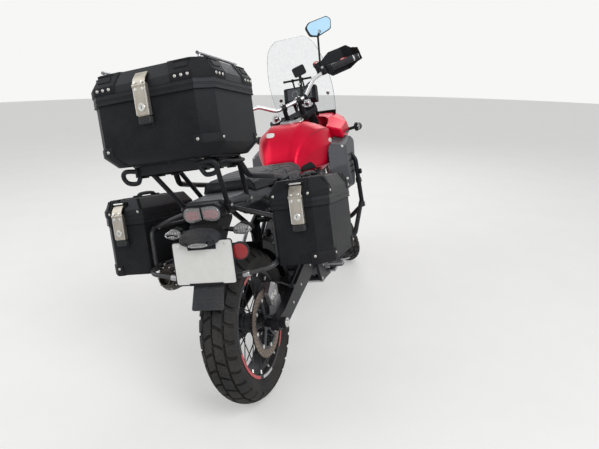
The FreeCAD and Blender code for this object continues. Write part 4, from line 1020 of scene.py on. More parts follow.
    # Lid top
    y0, y1 = rear - c.length + 66, rear - 66
    x0, x1 = c.x0 + (80 if top else 46), c.x1 - (80 if top else 46)
    panel = Shape().slab(rounded(rect((x0, x1), (y0, y1), zt - 0.5), 20), UP, 2.4, 1.2)
    count = 9 if top else 5
    for i in range(count):
        x = x0 + 16 + (x1 - x0 - 32) * i / (count - 1)
        panel.slab(rounded(rect((x - 3, x + 3), (y0 + 14, y1 - 14), zt + 1.6), 2.8), UP, 1.8, 0.8)
    piece(tag + "_lid_pad", panel, "cap", lid_body, place, sharp=28)
    if top:
        rails, feet = Shape(), Shape()
        ya, yb = rear - c.length + 60, rear - 60
        for x in (c.x0 + 44, c.x1 - 44):
            rails.tube([(x, ya, zt + 1), (x, ya, zt + 11), (x, ya + 3, zt + 16), (x, ya + 9, zt + 18),
                        (x, yb - 9, zt + 18), (x, yb - 3, zt + 16), (x, yb, zt + 11), (x, yb, zt + 1)],
                       5.5, 12, 3)
            for yy in (ya, yb):
                feet.lathe((x, yy, zt - 1), UP, [(0, 12), (3, 12), (5, 10), (6.5, 7)], 18)
        piece(tag + "_lash_rails", rails, "satin", lid_body, place)
        piece(tag + "_rail_feet", feet, "cap", lid_body, place)
    else:
        handle, ends = Shape(), Shape()
        for yy in (rear - c.length / 2 - 62, rear - c.length / 2 + 62):
            ends.slab(rounded(rect((mid - 17, mid + 17), (yy - 11, yy + 11), zt + 2), 5), UP, 7, 2)
        yy = rear - c.length / 2
        handle.tube([(mid, yy - 60, zt + 7), (mid, yy - 44, zt + 13), (mid, yy, zt + 15), (mid, yy + 44, zt + 13),
                     (mid, yy + 60, zt + 7)], lambda t: 5.0 + 2.4 * math.sin(math.pi * t), 10, 6)
        # Lash eye on the rear slope: a black cup with a bright bar across it
        up = vec(0, -SLOPE_IN, SLOPE_UP).normalized()
        out = vec(0, SLOPE_UP, SLOPE_IN).normalized()
        o = vec(mid, y, zs) + up * 26
        ring = [o + vec(sx * 36, 0, 0) + up * (sz * 11) for sx, sz in ((-1, -1), (1, -1), (1, 1), (-1, 1))]
        ends.slab(rounded([q - out * 0.5 for q in ring], 8), out, 6.5, 2.6)
        ends.lathe(o + vec(-30, 0, 0) + out * 7, LEFT, [(0, 6), (4, 7), (8, 6)], 14)
        ends.lathe(o + vec(22, 0, 0) + out * 7, LEFT, [(0, 6), (4, 7), (8, 6)], 14)
        eye = Shape().wire([o + vec(-24, 0, 0) + out * 9, o + vec(24, 0, 0) + out * 9], 3.2, 12)
        piece(tag + "_lash_bar", eye, "bolt", lid_body, place)
        piece(tag + "_handle", handle, "rubber", lid_body, place)
        piece(tag + "_handle_ends", ends, "cap", lid_body, place, sharp=28)
        feet = Shape()
        for fx in (c.x0 + 50, c.x1 - 50):
            for fy in (rear - c.length + 60, rear - 60):
                feet.lathe((fx, fy, z0 + 0.5), DOWN, [(0, 13), (3.0, 12), (4.5, 10)], 16)
        piece(tag + "_feet", feet, "rubber", "chassis", place)
    case_mouldings(tag, c, place, lid_body, top)
    if not top:
        dress(tag + "_body", "case")


def dress_cases():
    case_details("top_case", TOP, TOP_FRAME, "top_lid", True)
    case_details("left_case", SIDE, SIDE_FRAME, "left_lid", False)
    case_details("right_case", SIDE, SIDE_FRAME_RIGHT, "right_lid", False)


# Tank, cowl and lamps

TANK_CAP = (0.0, -196.0, 1052.0)


def dress_tank():
    tank = soft_panel("painted_tank", "fuel_tank", "paint", 5.0, 10)
    skin = Skin([tank], BIKE)
    corner, seams = Shape(), Shape()
    for side in (-1, 1):
        patch(corner, skin, [(-96, 792), (44, 808), (36, 832), (-34, 842)], side * TANK_FAR, (-side, 0, 0), 2.0, 18,
              8, round_off=0.06)
        line = [(-288 + 16 * i, 985 - 0.0011 * (i * 16 - 100) ** 2) for i in range(15)]
        pts = surface_line(skin, line, side * TANK_FAR, (-side, 0, 0), 0.2)
        seams.tube(pts, 1.3, 6, 2)
    piece("tank_corner_trims", corner, "cap")
    piece("tank_seams", seams, "dark")
    badge = Shape()
    for side in (-1, 1):
        patch(badge, skin, [(-268, 902), (-214, 902), (-214, 926), (-268, 926)], side * TANK_FAR, (-side, 0, 0), 1.4,
              10, 6, 0.3)
    patch(badge, skin, [(94, 994), (40, 992), (40, 1013), (94, 1015)], TANK_FAR, FRONT, 1.4, 10, 6, 0.2)
    piece("tank_blank_badges", badge, "plate")
    x, y, z = TANK_CAP
    ring, flap, screws = Shape(), Shape(), Shape()
    ring.lathe((x, y, z - 14), UP, [(0, 50), (11, 50), (14, 47), (15.5, 42), (15.5, 38), (12, 37)], 48)
    flap.lathe((x, y, z - 2), UP, [(0, 36.5), (3, 36.5), (5.5, 34), (6.2, 28), (7.4, 12), (7.4, 0.1)], 48)
    flap.slab(rounded(rect((x - 8, x + 8), (y + 6, y + 30), z + 4), 4), UP, 3.2, 1.2)
    for s, c in around(6, 0.5):
        screws.bolt((x + 42.5 * c, y + 42.5 * s, z + 1), UP, 2.6, 2.0)
    piece("filler_ring", ring, "satin")
    piece("filler_flap", flap, "dark")
    piece("filler_screws", screws, "bolt")


def dress_cowl():
    cowl = soft_panel("painted_cowl", "front_cowl", "paint", 4.5, 7)
    shrouds = soft_panel("flank_shrouds", "tank_shrouds", "grey", 4.5, 7)
    panels = soft_panel("flank_and_tail_panels", "side_panels", "grey", 4.5, 6)
    cowl_skin, shroud_skin, panel_skin = Skin([cowl], BIKE), Skin([shrouds], BIKE), Skin([panels], BIKE)
    vents, stripes, caps, screws = Shape(), Shape(), Shape(), Shape()
    for side in (-1, 1):
        for k in range(4):
            z = 700 + 34 * k
            patch(vents, shroud_skin, [(-398 + k * 3, z), (-262 + k * 4, z + 8), (-262 + k * 4, z + 20),
                                       (-398 + k * 3, z + 12)], side * PANEL_FAR, (-side, 0, 0), 2.2, 14, 3, 0.3)
        patch(stripes, cowl_skin, [(-700, 905), (-380, 922), (-380, 936), (-700, 922)], side * PANEL_FAR,
              (-side, 0, 0), 0.9, 24, 3, 0.1)
        for skin, spots in ((shroud_skin, ((-452, 880), (-238, 872), (-232, 690), (-330, 618))),
                            (panel_skin, ((40, 760), (330, 770), (500, 822), (170, 690)))):
            for p in spots:
                q, n = skin.hit((side * PANEL_FAR, *p), (-side, 0, 0))
                if q is not None:
                    screws.bolt(q, n, 5.0, 3.0)
        patch(caps, panel_skin, [(60, 735), (300, 745), (330, 785), (60, 782)], side * PANEL_FAR, (-side, 0, 0), 2.2,
              16, 6, 0.25)
    for shape, name, mat in ((vents, "shroud_louvres", "plastic"), (stripes, "cowl_stripes", "grey"),
                             (caps, "side_panel_insets", "plastic"), (screws, "panel_screws", "bolt")):
        piece(name, shape, mat)
    dress("front_fender", "paint")
    fender_seams = Shape()
    for side in (-1, 1):
        pts = []
        for i in range(17):
            a = math.radians(-29 + 110 * i / 16)
            y, z = FRONT_AXLE
            pts.append((side * 65.4, y + 324 * math.sin(a), z + 324 * math.cos(a)))
        fender_seams.wire(pts, 1.6, 6)
    piece("mudguard_edge_beads", fender_seams, "paint", "steering")


def dress_lamps():
    shell, bowl, cover, rim = Shape(), Shape(), Shape(), Shape()
    for side in (-1, 1):
        pts = [(18, 884), (22, 946), (96, 952), (128, 930), (104, 882)]
        ring = rounded([(side * x, -743, z) for x, z in pts], 12)
        shell.slab([(p.x, -676, p.z) for p in ring], FRONT, 58, 2)
        cover.slab(ring, FRONT, 3.6, 1.8, 2.0)
        rim.wire(ring + ring[:1], 2.4)
        bowl.lathe((side * 64, -738, 916), REAR, [(0, 28), (2, 29.5), (6, 27), (16, 20), (24, 10), (26, 7),
                                                      (20, 7), (12, 8), (11, 0.1)], 32)
        bowl.lathe((side * 104, -738, 916), REAR, [(0, 11), (2, 12), (8, 8), (12, 4), (13, 0.1)], 20)
    house = piece("headlamp_bodies", shell, "dark", sharp=28)
    glass = piece("headlamp_covers", cover, "lens")
    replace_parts(house, "headlamps")
    piece("headlamp_rims", rim, "plastic")
    piece("headlamp_bowls", bowl, "silver")


# Windscreen: height levels as y, z, half width and bow, joined by a smooth curve

SCREEN = [(-652.0, 1000.0, 168.0, 70.0), (-566.0, 1260.0, 190.0, 56.0), (-470.0, 1496.0, 118.0, 24.0)]


def screen_point(u, v, depth=0.0):
    w = ((1 - v) * (1 - 2 * v), 4 * v * (1 - v), v * (2 * v - 1))
    y, z, half, bow = (sum(w[k] * SCREEN[k][i] for k in range(3)) for i in range(4))
    radius = (half * half + bow * bow) / (2 * bow)
    edge = math.asin(min(1.0, half / radius))
    top = max(0.0, (v - 0.86) / 0.14)
    a = u * edge * (1 - 0.30 * top ** 2.4)
    return Vector((radius * math.sin(a), y + radius * (1 - math.cos(a)) + depth, z))


def dress_screen():
    glass = Shape()
    nu, nv = 28, 24
    front, back = ([screen_point(2 * i / nu - 1, j / nv, depth) for j in range(nv + 1) for i in range(nu + 1)]
                   for depth in (0.0, 4.0))
    glass.sheet(front, back, nu, nv)
    screen = piece("screen_pane", glass, "glass", sharp=50)
    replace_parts(screen, "windscreen")
    trim, caps = Shape(), Shape()
    rim = [screen_point(-1, j / 30, 2) for j in range(31)] + [screen_point(i / 12 - 1, 1, 2) for i in range(1, 25)]
    rim += [screen_point(1, 1 - j / 30, 2) for j in range(1, 31)]
    trim.wire(rim, 1.3)
    piece("screen_edge_trim", trim, "smoke")
    for u, v in ((-0.72, 0.05), (0.72, 0.05), (-0.78, 0.30), (0.78, 0.30)):
        p = screen_point(u, v)
        d = (screen_point(u + 0.02, v) - p).cross(screen_point(u, v + 0.02) - p).normalized()
        d = d if d.y < 0 else -d
        caps.lathe(p, d, [(-9, 11), (-2, 11), (1, 10), (3.5, 9), (4.5, 6), (3.4, 4)], 20)
    piece("screen_fixings", caps, "bolt")
    hood = Shape()
    outer, inner = ([screen_point((k / 10 - 1) * 1.01, v, d) for v in (-0.02, 0.06, 0.10) for k in range(21)]
                    for d in (-4.0, 6.0))
    hood.sheet(outer, inner, 20, 2)
    piece("screen_base_strip", hood, "plastic")


# Instruments

def dress_dash():
    way = vec(0, 0.957, 0.289)
    up = vec(0, -0.289, 0.957)
    c = vec(0, -477.0, 1181.0)

    def ring(half, high, lift, r, dx=0.0, dz=0.0):
        o = c + way * lift + vec(dx, 0, 0) + up * dz
        return rounded([o + vec(sx * half, 0, 0) + up * (sz * high)
                        for sx, sz in ((-1, -1), (1, -1), (1, 1), (-1, 1))], r)

    bezel, face, keys = Shape(), Shape(), Shape()
    bezel.slab(ring(95, 42, -1, 12), way, 6, 2.4)
    face.slab(ring(80, 33, 4.6, 6, -6), way, 1.2, 0.5)
    for k in range(3):
        keys.lathe(c + way * 4.6 + vec(84, 0, 0) + up * (16 - 16 * k), way, [(0, 5.2), (2.2, 5.0), (3.0, 3.8)], 16)
    piece("dash_bezel", bezel, "plastic", sharp=28)
    piece("dash_display", face, "display", sharp=28)
    piece("dash_keys", keys, "rubber")
    dials = Shape()
    for r0, x in ((24.0, -52.0), (20.0, 26.0)):
        o = c + way * 5.7 + vec(x, 0, 0)
        for i in range(24):
            a = math.radians(-130 + 260 * i / 23)
            d = Vector(LEFT) * math.sin(a) + up * math.cos(a)
            s = way.cross(d) * 0.5
            long = 5.0 if i % 4 == 0 else 3.0
            p, q = o + d * r0, o + d * (r0 - long)
            dials.slab([p - s, p + s, q + s, q - s], way, 0.5, 0.1)
    piece("dash_dial_marks", dials, "plate")
    caps = Shape()
    for x in (-90, 90):
        side = 1 if x > 0 else -1
        caps.lathe((x * 0.944, -478, 1262), (side, 0, 0), [(-4, 6.6), (-3, 7.4), (1, 7.4), (2.5, 5.5)], 16)
    piece("device_bar_ends", caps, "rubber")
    dress("dash", "plastic")


# Handlebar and what is on it

BAR_MIDDLE = (-300, 1138)
GRIP_INNER, GRIP_OUTER = (262.0, -270.0, 1216.0), (440.0, -226.0, 1208.0)
MIRROR_Z = 1446.0


def bar_point(x, up=0.0, ahead=0.0):
    (x0, y0, z0), (x1, y1, z1) = GRIP_INNER, GRIP_OUTER
    k = (x - x0) / (x1 - x0)
    return vec(x, y0 + k * (y1 - y0) - ahead, z0 + k * (z1 - z0) + up)


def dress_controls():
    grips, flanges, blocks, bolts, levers, weights = (Shape() for _ in range(6))
    way = (bar_point(440) - bar_point(262)).normalized()
    ridges = [(0.0, 17.4), (1.0, 18.2)]
    for k in range(22):
        d = 6 + k * 5.4
        ridges += [(d, 18.3), (d + 1.1, 18.3), (d + 1.6, 17.3), (d + 4.0, 17.3), (d + 4.6, 18.3)]
    ridges += [(130.0, 18.4), (133.0, 18.4), (134.0, 16.0)]
    grips.lathe(bar_point(290), way, ridges, 28)
    flanges.lathe(bar_point(290), way, [(0, 18), (0.5, 24), (3.5, 24.6), (5, 23), (7, 18.4)], 28)
    weights.lathe(bar_point(427.5), way, [(0, 14), (1, 16.6), (8, 16.9), (9, 16.2), (10, 16.9), (22, 16.9), (25, 15),
                                          (25.6, 7), (23, 6)], 28)
    o = bar_point(278)
    side = Vector(REAR)
    ring = rounded([o + vec(0, y, z) for y, z in ((-22, -20), (24, -24), (27, 14), (14, 24), (-20, 20))], 8)
    blocks.slab([p - way * 13 for p in ring], way, 25, 2.5)
    for dy, dz, r in ((27, 4, 5.2), (27, -10, 4.2)):
        blocks.lathe(o + vec(0, dy - 1, dz), side, [(0, r), (3.6, r), (4.6, r * 0.7)], 14)
    blocks.slab(rounded([bar_point(250) + vec(x, y, -14) for x, y in ((-13, -24), (13, -24), (13, 20), (-13, 20))],
                        6), UP, 28, 2.0)
    for dx in (-8, 8):
        bolts.bolt(bar_point(250) + vec(dx, -24, 8), FRONT, 3.0, 3.0, False)
        bolts.bolt(bar_point(250) + vec(dx, -24, -8), FRONT, 3.0, 3.0, False)
    pts = [bar_point(247, 6, 38), bar_point(262, 12, 50), bar_point(292, 17, 61), bar_point(350, 15, 58),
           bar_point(418, 8, 50)]
    levers.tube(pts, lambda t: 6.6 - 1.2 * t, 12, 6)
    levers.lathe(bar_point(418, 8, 50), way, [(-7, 4), (-4, 7.4), (0, 8.2), (4, 7), (6.5, 3.6)], 14)
    bolts.lathe(bar_point(249, 8, 40), UP, [(-18, 7.5), (0, 7.5), (2.5, 6)], 14)
    for shape, name, mat in ((grips, "bar_grips", "rubber"), (flanges, "grip_flanges", "rubber"),
                             (blocks, "switch_blocks", "plastic"), (bolts, "control_screws", "bolt"),
                             (levers, "hand_levers", "silver"), (weights, "bar_end_weights", "dark")):
        piece(name, shape.mirror(), mat, "steering")
    pot = Shape()
    base, top = bar_point(240, 12, 26), bar_point(240, 54, 34)
    base, top = vec(-base.x, base.y, base.z), vec(-top.x, top.y, top.z)
    d = ((top - base).normalized() + vec(-0.1, 0.95, 0.0)).normalized()
    pot.lathe(top, d, [(-14, 23.4), (-12, 24.2), (-8, 24.2), (-7.5, 23.4), (-2, 24.4), (1.5, 24.4), (4, 22), (4.6, 9),
                       (5.6, 8), (5.6, 0.2)], 30)
    u = d.orthogonal().normalized()
    for s, c in around(14):
        pot.lathe(top + (u * c + d.cross(u) * s) * 24 - d * 2, d, [(0, 1.3), (3.4, 1.2)], 6)
    piece("reservoir_cap", pot, "dark", "steering")
    ring, label = Shape(), Shape()
    ring.lathe(top, d, [(5.0, 19), (7.0, 19), (7.4, 18), (7.4, 9.5), (5.0, 9)], 32)
    label.lathe(top, d, [(5.0, 8.6), (7.8, 8.6), (8.2, 7.8), (8.2, 0.2)], 24)
    piece("reservoir_ring", ring, "red_mark", "steering")
    piece("reservoir_blank_label", label, "plate", "steering")
    dress("controls", "plastic")
    dress("handlebar", "silver")
    arm, knob = Shape(), Shape()
    arm.tube([(-74, -300, 1140), (-104, -318, 1208), (-128, -324, 1266)], 8, 14, 5)
    arm.lathe((-92, *BAR_MIDDLE), RIGHT, [(-9, 14), (-8, 17), (8, 17), (9, 14)], 24)
    arm.slab(rounded([(x, -336, z) for x, z in ((-168, 1254), (-96, 1254), (-96, 1308), (-168, 1308))], 12),
             REAR, 18, 2.4)
    for k in range(4):
        arm.slab(rect((-158, -106), -318.5, (1264 + 11 * k, 1268 + 11 * k)), REAR, 1.8, 0.7)
    knob.lathe((-106, -319, 1216), (0.9, 0.4, 0), [(-13, 6), (6, 6), (7, 9), (13, 9), (14, 7)], 14)
    piece("device_holder_arm", arm, "plastic", "steering", sharp=28)
    piece("device_holder_knob", knob, "bolt", "steering")
    clamp = Shape()
    for x in (-48, 48):
        for dy, dx in ((-15, -8), (-15, 8), (15, -8), (15, 8)):
            clamp.bolt((x + dx, -300 + dy * 0.9, 1138 + 16), (0, dy * 0.02, 1), 4.2, 6.0, False)
    piece("bar_clamp_bolts", clamp, "bolt", "steering")
    risers = Shape()
    for x in (-48, 48):
        risers.lathe((x - 15, *BAR_MIDDLE), LEFT, [(0, 13.8), (1, 18.4), (29, 18.4), (30, 13.8)], 28)
    piece("bar_riser_clamps", risers, "silver", "steering")


def dress_guards():
    shells = soft_panel("hand_guard_shells", "hand_guards", "plastic", 2.5, 3, body="steering")
    skin = Skin([shells], FORK)
    marks, screws = Shape(), Shape()
    for side in (-1, 1):
        patch(marks, skin, [(side * 312, 1166), (side * 418, 1172), (side * 430, 1232), (side * 322, 1258)],
              -520, REAR, 2.0, 18, 8, 0.25)
        patch(marks, skin, [(side * 366, 1196), (side * 412, 1198), (side * 418, 1232), (side * 374, 1240)],
              -60, FRONT, 1.6, 12, 6, 0.15)
        for x, z in ((290, 1176), (292, 1226), (438, 1200)):
            q, n = skin.hit((side * x, -520, z), REAR)
            if q is not None:
                screws.bolt(q, n, 4.4, 3.0, False)
    piece("hand_guard_panels", marks, "red_mark", "steering")
    piece("hand_guard_screws", screws, "bolt", "steering")


def dress_mirrors():
    soft_panel("mirror_shells", "mirrors", "plastic", 2.5, 5, body="steering")
    face, nuts = Shape(), Shape()
    z = MIRROR_Z
    pts = [(272, z - 23), (267, z + 24), (291, z + 40), (398, z + 32), (413, z + 11), (393, z - 34), (311, z - 42)]
    face.slab(rounded([(x, -294.6, zz) for x, zz in pts], 14), REAR, 1.8, 0.6)
    nuts.lathe((326, -297, MIRROR_Z - 24), (0.72, 0.1, 0.7), [(-10, 7), (-8, 9.5), (-2, 9.5), (4, 11), (9, 7)], 16)
    nuts.lathe(bar_point(247, 16), UP, [(-6, 9), (5, 9), (6, 8), (13, 8), (14, 6.6)], 6)
    piece("mirror_faces", face.mirror(), "mirror", "steering", sharp=28)
    piece("mirror_joints", nuts.mirror(), "satin", "steering")


# Fork, front brake and hoses

def leg_point(x, n, s):
    """Point in the fork: x across, n ahead of the leg, s up the leg from the axle."""
    sr, cr = math.sin(RAKE), math.cos(RAKE)
    y, z = FRONT_AXLE
    return vec(x, y + s * sr - n * cr, z + s * cr + n * sr)


def dress_fork():
    up = (leg_point(0, 0, 1) - leg_point(0, 0, 0)).normalized()
    ahead = (leg_point(0, 1, 0) - leg_point(0, 0, 0)).normalized()
    sliders, seals, caps, bolts = (Shape() for _ in range(4))
    sliders.lathe(leg_point(105, 0, 60), up, [(0, 21.8), (366, 21.9)], 32)
    seals.lathe(leg_point(105, 0, 420), up, [(0, 23), (2, 27.6), (10, 28.4), (14, 27.8), (20, 27.8), (24, 27.2)], 32)
    caps.lathe(leg_point(105, 0, 861), up, [(3, 20.6), (26, 20.6), (27.5, 19.4), (27.5, 14), (25, 13)], 28)
    caps.lathe(leg_point(105, 0, 886), up, [(0, 12), (8, 12), (9, 10.6), (9, 5), (7, 4.6)], 6)
    caps.lathe(leg_point(105, 0, 861), up, [(-2, 27.6), (3, 27.8), (4.5, 25)], 32)
    for s in (640, 835):
        for n in (-26, 26):
            bolts.bolt(leg_point(144, n * 0.4, s), LEFT, 4.6, 6.0, False)
    for n in (-12, 12):
        bolts.bolt(leg_point(115, n, -29), -up, 3.8, 4.0, False)
    bolts.lathe(leg_point(0, -105.0, 858), up, [(-2, 22), (2, 22), (4, 20), (4.5, 17)], 6)
    bolts.lathe((134, FRONT_AXLE[0], FRONT_AXLE[1]), LEFT, [(-8, 19), (0, 19), (2, 17), (2.5, 10), (-4, 9)], 6)
    for shape, name, mat in ((sliders, "fork_sliders", "satin"), (seals, "fork_seals", "rubber"),
                             (caps, "fork_caps", "silver"), (bolts, "fork_bolts", "bolt")):
        piece(name, shape.mirror(), mat, "steering")
    pads = Shape()
    for s in (82, 126):
        p = leg_point(94, -58, s)
        pads.lathe(p, LEFT, [(-2, 15), (1, 15), (2.5, 13), (3, 8), (1.5, 7)], 20)
    for s in (68, 140):
        pads.bolt(leg_point(92, -30, s), LEFT, 4.4, 4.0)
    pads.slab(rounded([leg_point(92, -84, 70), leg_point(92, -84, 138), leg_point(92, -76, 138),
                       leg_point(92, -76, 70)], 3), LEFT, 2.0, 0.8)
    piece("front_caliper_details", pads.mirror(), "bolt", "steering")
    banjo = Shape()
    banjo.lathe(leg_point(72, -55, 146), up, [(-4, 8), (3, 8), (4, 6.5), (9, 6.5), (10, 4.4)], 14)
    banjo.mirror()
    banjo.bolt(leg_point(0, 36, 642), ahead, 5.0, 5.0)
    piece("hose_unions", banjo, "bolt", "steering")
    clips = Shape()
    for s in (300, 400):
        clips.lathe(leg_point(76, -42, s - 5), up, [(0, 4.6), (0.5, 6.6), (9.5, 6.6), (10, 4.6)], 14)
    clips.mirror()
    piece("hose_clips", clips, "rubber", "steering")
    dress("fork", "frame")
    dress("front_calipers", "satin")
    dress("front_hoses", "rubber")
    dress("front_wheel", "wheel")


# Engine, cooling and exhaust

# Round covers of the engine: side, y, z, radius and how far they stand out
COVERS = [(-1, 60, 400, 92, 46), (-1, 60, 400, 74, 56), (-1, -110, 400, 58, 32), (-1, -190, 318, 34, 30),
          (1, -70, 430, 84, 40), (1, -70, 430, 62, 50), (1, 80, 440, 52, 30), (1, -196, 400, 40, 26)]


def dress_engine():
    bolts, rims, seams, plugs = (Shape() for _ in range(4))
    for side, y, z, r, t in COVERS:
        x = side * (140 + t)
        for s, c in around(9 if r > 70 else 6, 0.5):
            bolts.bolt((x - side * 0.5, y + (r - 7) * s, z + (r - 7) * c), (side, 0, 0), 3.6, 4.2)
        rims.lathe((x, y, z), (side, 0, 0),
                   [(-3, r + 0.2), (-1, r + 1.2), (0.4, r + 0.6), (1.2, r - 2), (0.6, r - 3.4)], 48)
        rims.lathe((x, y, z), (side, 0, 0), [(0, r * 0.50), (1.6, r * 0.48), (1.6, r * 0.40), (0.4, r * 0.36)], 36)
    for side in (-1, 1):
        x = side * 140.6
        line = [(-246, 330), (-252, 440), (-206, 540), (40, 560), (140, 500), (150, 380)]
        seams.wire([(x, y, z) for y, z in line], 2.4)
        for y, z in line[1:]:
            bolts.bolt((side * 140, y + (14 if y < 0 else -14), z - 12), (side, 0, 0), 4.4, 5.0)
        for y, z in ((-290, 744), (-262, 776), (-124, 794), (-104, 720), (-266, 672)):
            bolts.bolt((side * 132, y + 14, z - 12), (side, 0, 0), 4.0, 4.5)
        plugs.lathe((side * 132, -196, 740), (side, 0, 0),
                    [(-2, 24), (3, 24), (5, 21), (5.6, 12), (12, 11), (14, 8)], 28)
    plugs.lathe((-194, 96, 456), RIGHT, [(-2, 14), (4, 14), (6, 13), (6.6, 5), (13, 4.6), (14, 3)], 20)
    for side in (-1, 1):
        for k in range(5):
            ring = [(side * 132, y + 28 * k, z + 4 * k)
                    for y, z in ((-262, 760), (-246, 762), (-248, 782), (-264, 780))]
            plugs.slab(rounded(ring, 4), (side, 0, 0), 2.6, 1.0)
    ribs = Shape()
    for s, c in around(20):
        ribs.lathe((35.64 * c, -300, 330 + 35.64 * s), REAR, [(0, 2.0), (14, 2.0)], 6)
    piece("engine_bolts", bolts, "bolt")
    piece("engine_cover_rims", rims, "engine")
    piece("engine_case_seams", seams, "dark")
    piece("engine_plugs", plugs, "satin")
    piece("oil_filter_ribs", ribs, "dark")
    dress("engine", "engine")


def dress_cooling():
    cap, clamps = Shape(), Shape()
    cap.lathe((181, -150, 741), UP, [(-1, 15), (4, 15), (6, 17), (10, 17), (12, 15), (12.4, 6)], 12)
    for z in (566, 732):
        cap.slab(rounded(rect(197, (-240, -62), (z - 5, z + 8)), 4), LEFT, 4, 1.4)
    for p, d in (((176, -222, 758), UP), ((172, -80, 545), UP)):
        clamps.lathe(p, d, [(-7, 15.6), (-6, 16.8), (6, 16.8), (7, 15.6)], 28)
        clamps.bolt((p[0] + 16, p[1], p[2]), LEFT, 3.6, 4)
    piece("radiator_cap_and_tanks", cap, "satin", sharp=28)
    piece("hose_clamps", clamps, "bolt")
    dress("radiator", "dark")
    skid = Shape()
    for x in (-96, 96):
        for y in (-180, 60):
            skid.lathe((x, y, 208.5), DOWN, [(0, 9), (1.6, 9), (2.8, 6.5), (2.8, 3)], 16)
    for x in (-84, -42, 0, 42, 84):
        skid.slab(rect((x - 7, x + 7), (-190, 70), 207.6), DOWN, 2.0, 1.6)
    for side in (-1, 1):
        for y, z in ((-262, 292), (-150, 219), (-20, 219)):
            skid.bolt((side * 129.5, y, z), (side, 0, 0), 5.0, 4.0, False)
    piece("skid_plate_ribs_and_bolts", skid, "satin", sharp=25)
    dress("skid_plate", "satin")


def dress_exhaust():
    a, b = vec(198, 500, 520), vec(206, 940, 612)
    d = (b - a).normalized()
    u = Vector(LEFT)
    u = (u - d * u.dot(d)).normalized()
    w = d.cross(u)
    bands, shield, bolts, seams = (Shape() for _ in range(4))
    for k in (14, 420):
        bands.lathe(a + d * k, d, [(0, 50.2), (1, 51.6), (17, 51.6), (18, 50.2)], 48)
    for s, c in around(10):
        bolts.lathe(b + d * 12 + (u * c + w * s) * 44, d, [(-2, 3.2), (0.6, 3.2), (1.8, 2.2), (2.0, 0.3)], 10)
    rows, n = 22, 12

    def half_angle(j):
        return math.radians(58 * math.sqrt(max(0.12, math.sin(math.pi * (0.06 + 0.88 * j / rows)))))

    outer, inner = ([a + d * (70 + 300 * j / rows) + (u * math.cos(t) + w * math.sin(t)) * lift
                     for j in range(rows + 1) for t in [half_angle(j) * (2 * i / n - 1) for i in range(n + 1)]]
                    for lift in (54.5, 52.0))
    shield.sheet(outer, inner, n, rows)
    for s in (110, 330):
        bolts.lathe(a + d * s + u * 54, u, [(-5, 6.5), (1, 6.5), (2.4, 5), (2.4, 2.4)], 16)
    for x in (-60, 62):
        seams.lathe((x, -300, 713), (0, -1, -0.18), [(0, 27), (2, 31), (8, 31), (10, 25)], 28)
        for dx in (-26, 26):
            bolts.bolt((x + dx, -311, 711), (0, -1, -0.18), 4.0, 6.0)
    seams.lathe((112, -60, 284), REAR, [(0, 21.2), (1, 23.4), (24, 23.4), (25, 21.2)], 28)
    seams.lathe((112, 150, 284), REAR, [(0, 21.2), (1, 23.4), (18, 23.4), (19, 21.2)], 28)
    # Near-black exhaust steel: painted shade
    piece("silencer_bands", bands, "soot")
    piece("silencer_shield", shield, "plastic", sharp=40)
    piece("exhaust_bolts", bolts, "bolt")
    piece("exhaust_collars", seams, "soot")
    dress("exhaust", "soot")


# Swingarm, drive, spring and rear brake

SWING_PIVOT = (195, 400)


def dress_rear_drive():
    bolts, rims = Shape(), Shape()
    y, z = REAR_AXLE
    for s, c in around(8, 0.5):
        bolts.bolt((142, y + 66 * s, z + 66 * c), LEFT, 4.0, 4.6)
    rims.lathe((142, y, z), LEFT, [(-3, 80.2), (-1, 81.4), (0.6, 80.6), (1.6, 77)], 48)
    rims.lathe((154, y, z), LEFT, [(-1, 52), (1.6, 51), (3, 46), (2, 44), (2, 20), (4, 18), (4, 4)], 40)
    rims.lathe((124, *SWING_PIVOT), (-12, 517, -68),
               [(10, 41), (12, 44), (60, 44), (64, 41), (76, 43.5), (80, 41)], 36)
    rims.lathe((-172, y, z), RIGHT, [(-4, 26), (-1, 26.4), (0, 24)], 32)
    bolts.lathe((-172, y, z), RIGHT, [(-1, 20), (3, 19), (4.5, 15), (4.5, 11.6), (8, 11), (9, 6)], 24)
    for side in (-1, 1):
        bolts.lathe((side * 166, *SWING_PIVOT), (side, 0, 0),
                    [(-1, 24), (2, 24), (3, 20), (7, 19), (8, 15), (8, 8), (5, 7)], 6)
        bolts.lathe((side * 166, *SWING_PIVOT), (side, 0, 0), [(-1, 27), (1.4, 27), (2.2, 25)], 30)
        for yy, zz in ((150, 600), (200, 275), (150, 330)):
            bolts.bolt((side * 165.5, yy, zz), (side, 0, 0), 6.0, 6.0)
    for yy, zz in ((300, 428), (470, 400), (600, 372)):
        bolts.bolt((-148, yy, zz - 40), RIGHT, 4.2, 4.0, False)
    piece("drive_and_pivot_bolts", bolts, "bolt")
    piece("drive_cover_rims", rims, "frame")
    dress("swingarm", "frame")
    dress("frame", "frame")
    brake = Shape()
    for yy, zz in ((668, 410), (706, 410)):
        brake.lathe((-102, yy, zz), RIGHT, [(-3, 17), (0.6, 17), (2.4, 15), (3, 8), (1.4, 7)], 20)
    for yy, zz in ((652, 386), (724, 388), (690, 460)):
        brake.bolt((-102, yy, zz), RIGHT, 4.2, 4.0)
    brake.lathe((-96, 664, 454), (0, -0.4, 1), [(-6, 8), (3, 8), (4, 6)], 14)
    piece("rear_caliper_details", brake, "bolt")
    dress("rear_caliper", "satin")
    dress("rear_hoses", "rubber")
    dress("rear_wheel", "wheel")
    clips = Shape()
    for yy, zz in ((556, 390), (350, 437)):
        clips.slab(rounded(rect(-148, (yy - 9, yy + 9), (zz - 8, zz + 8)), 4), LEFT, 26, 2)
    piece("rear_hose_clips", clips, "rubber")


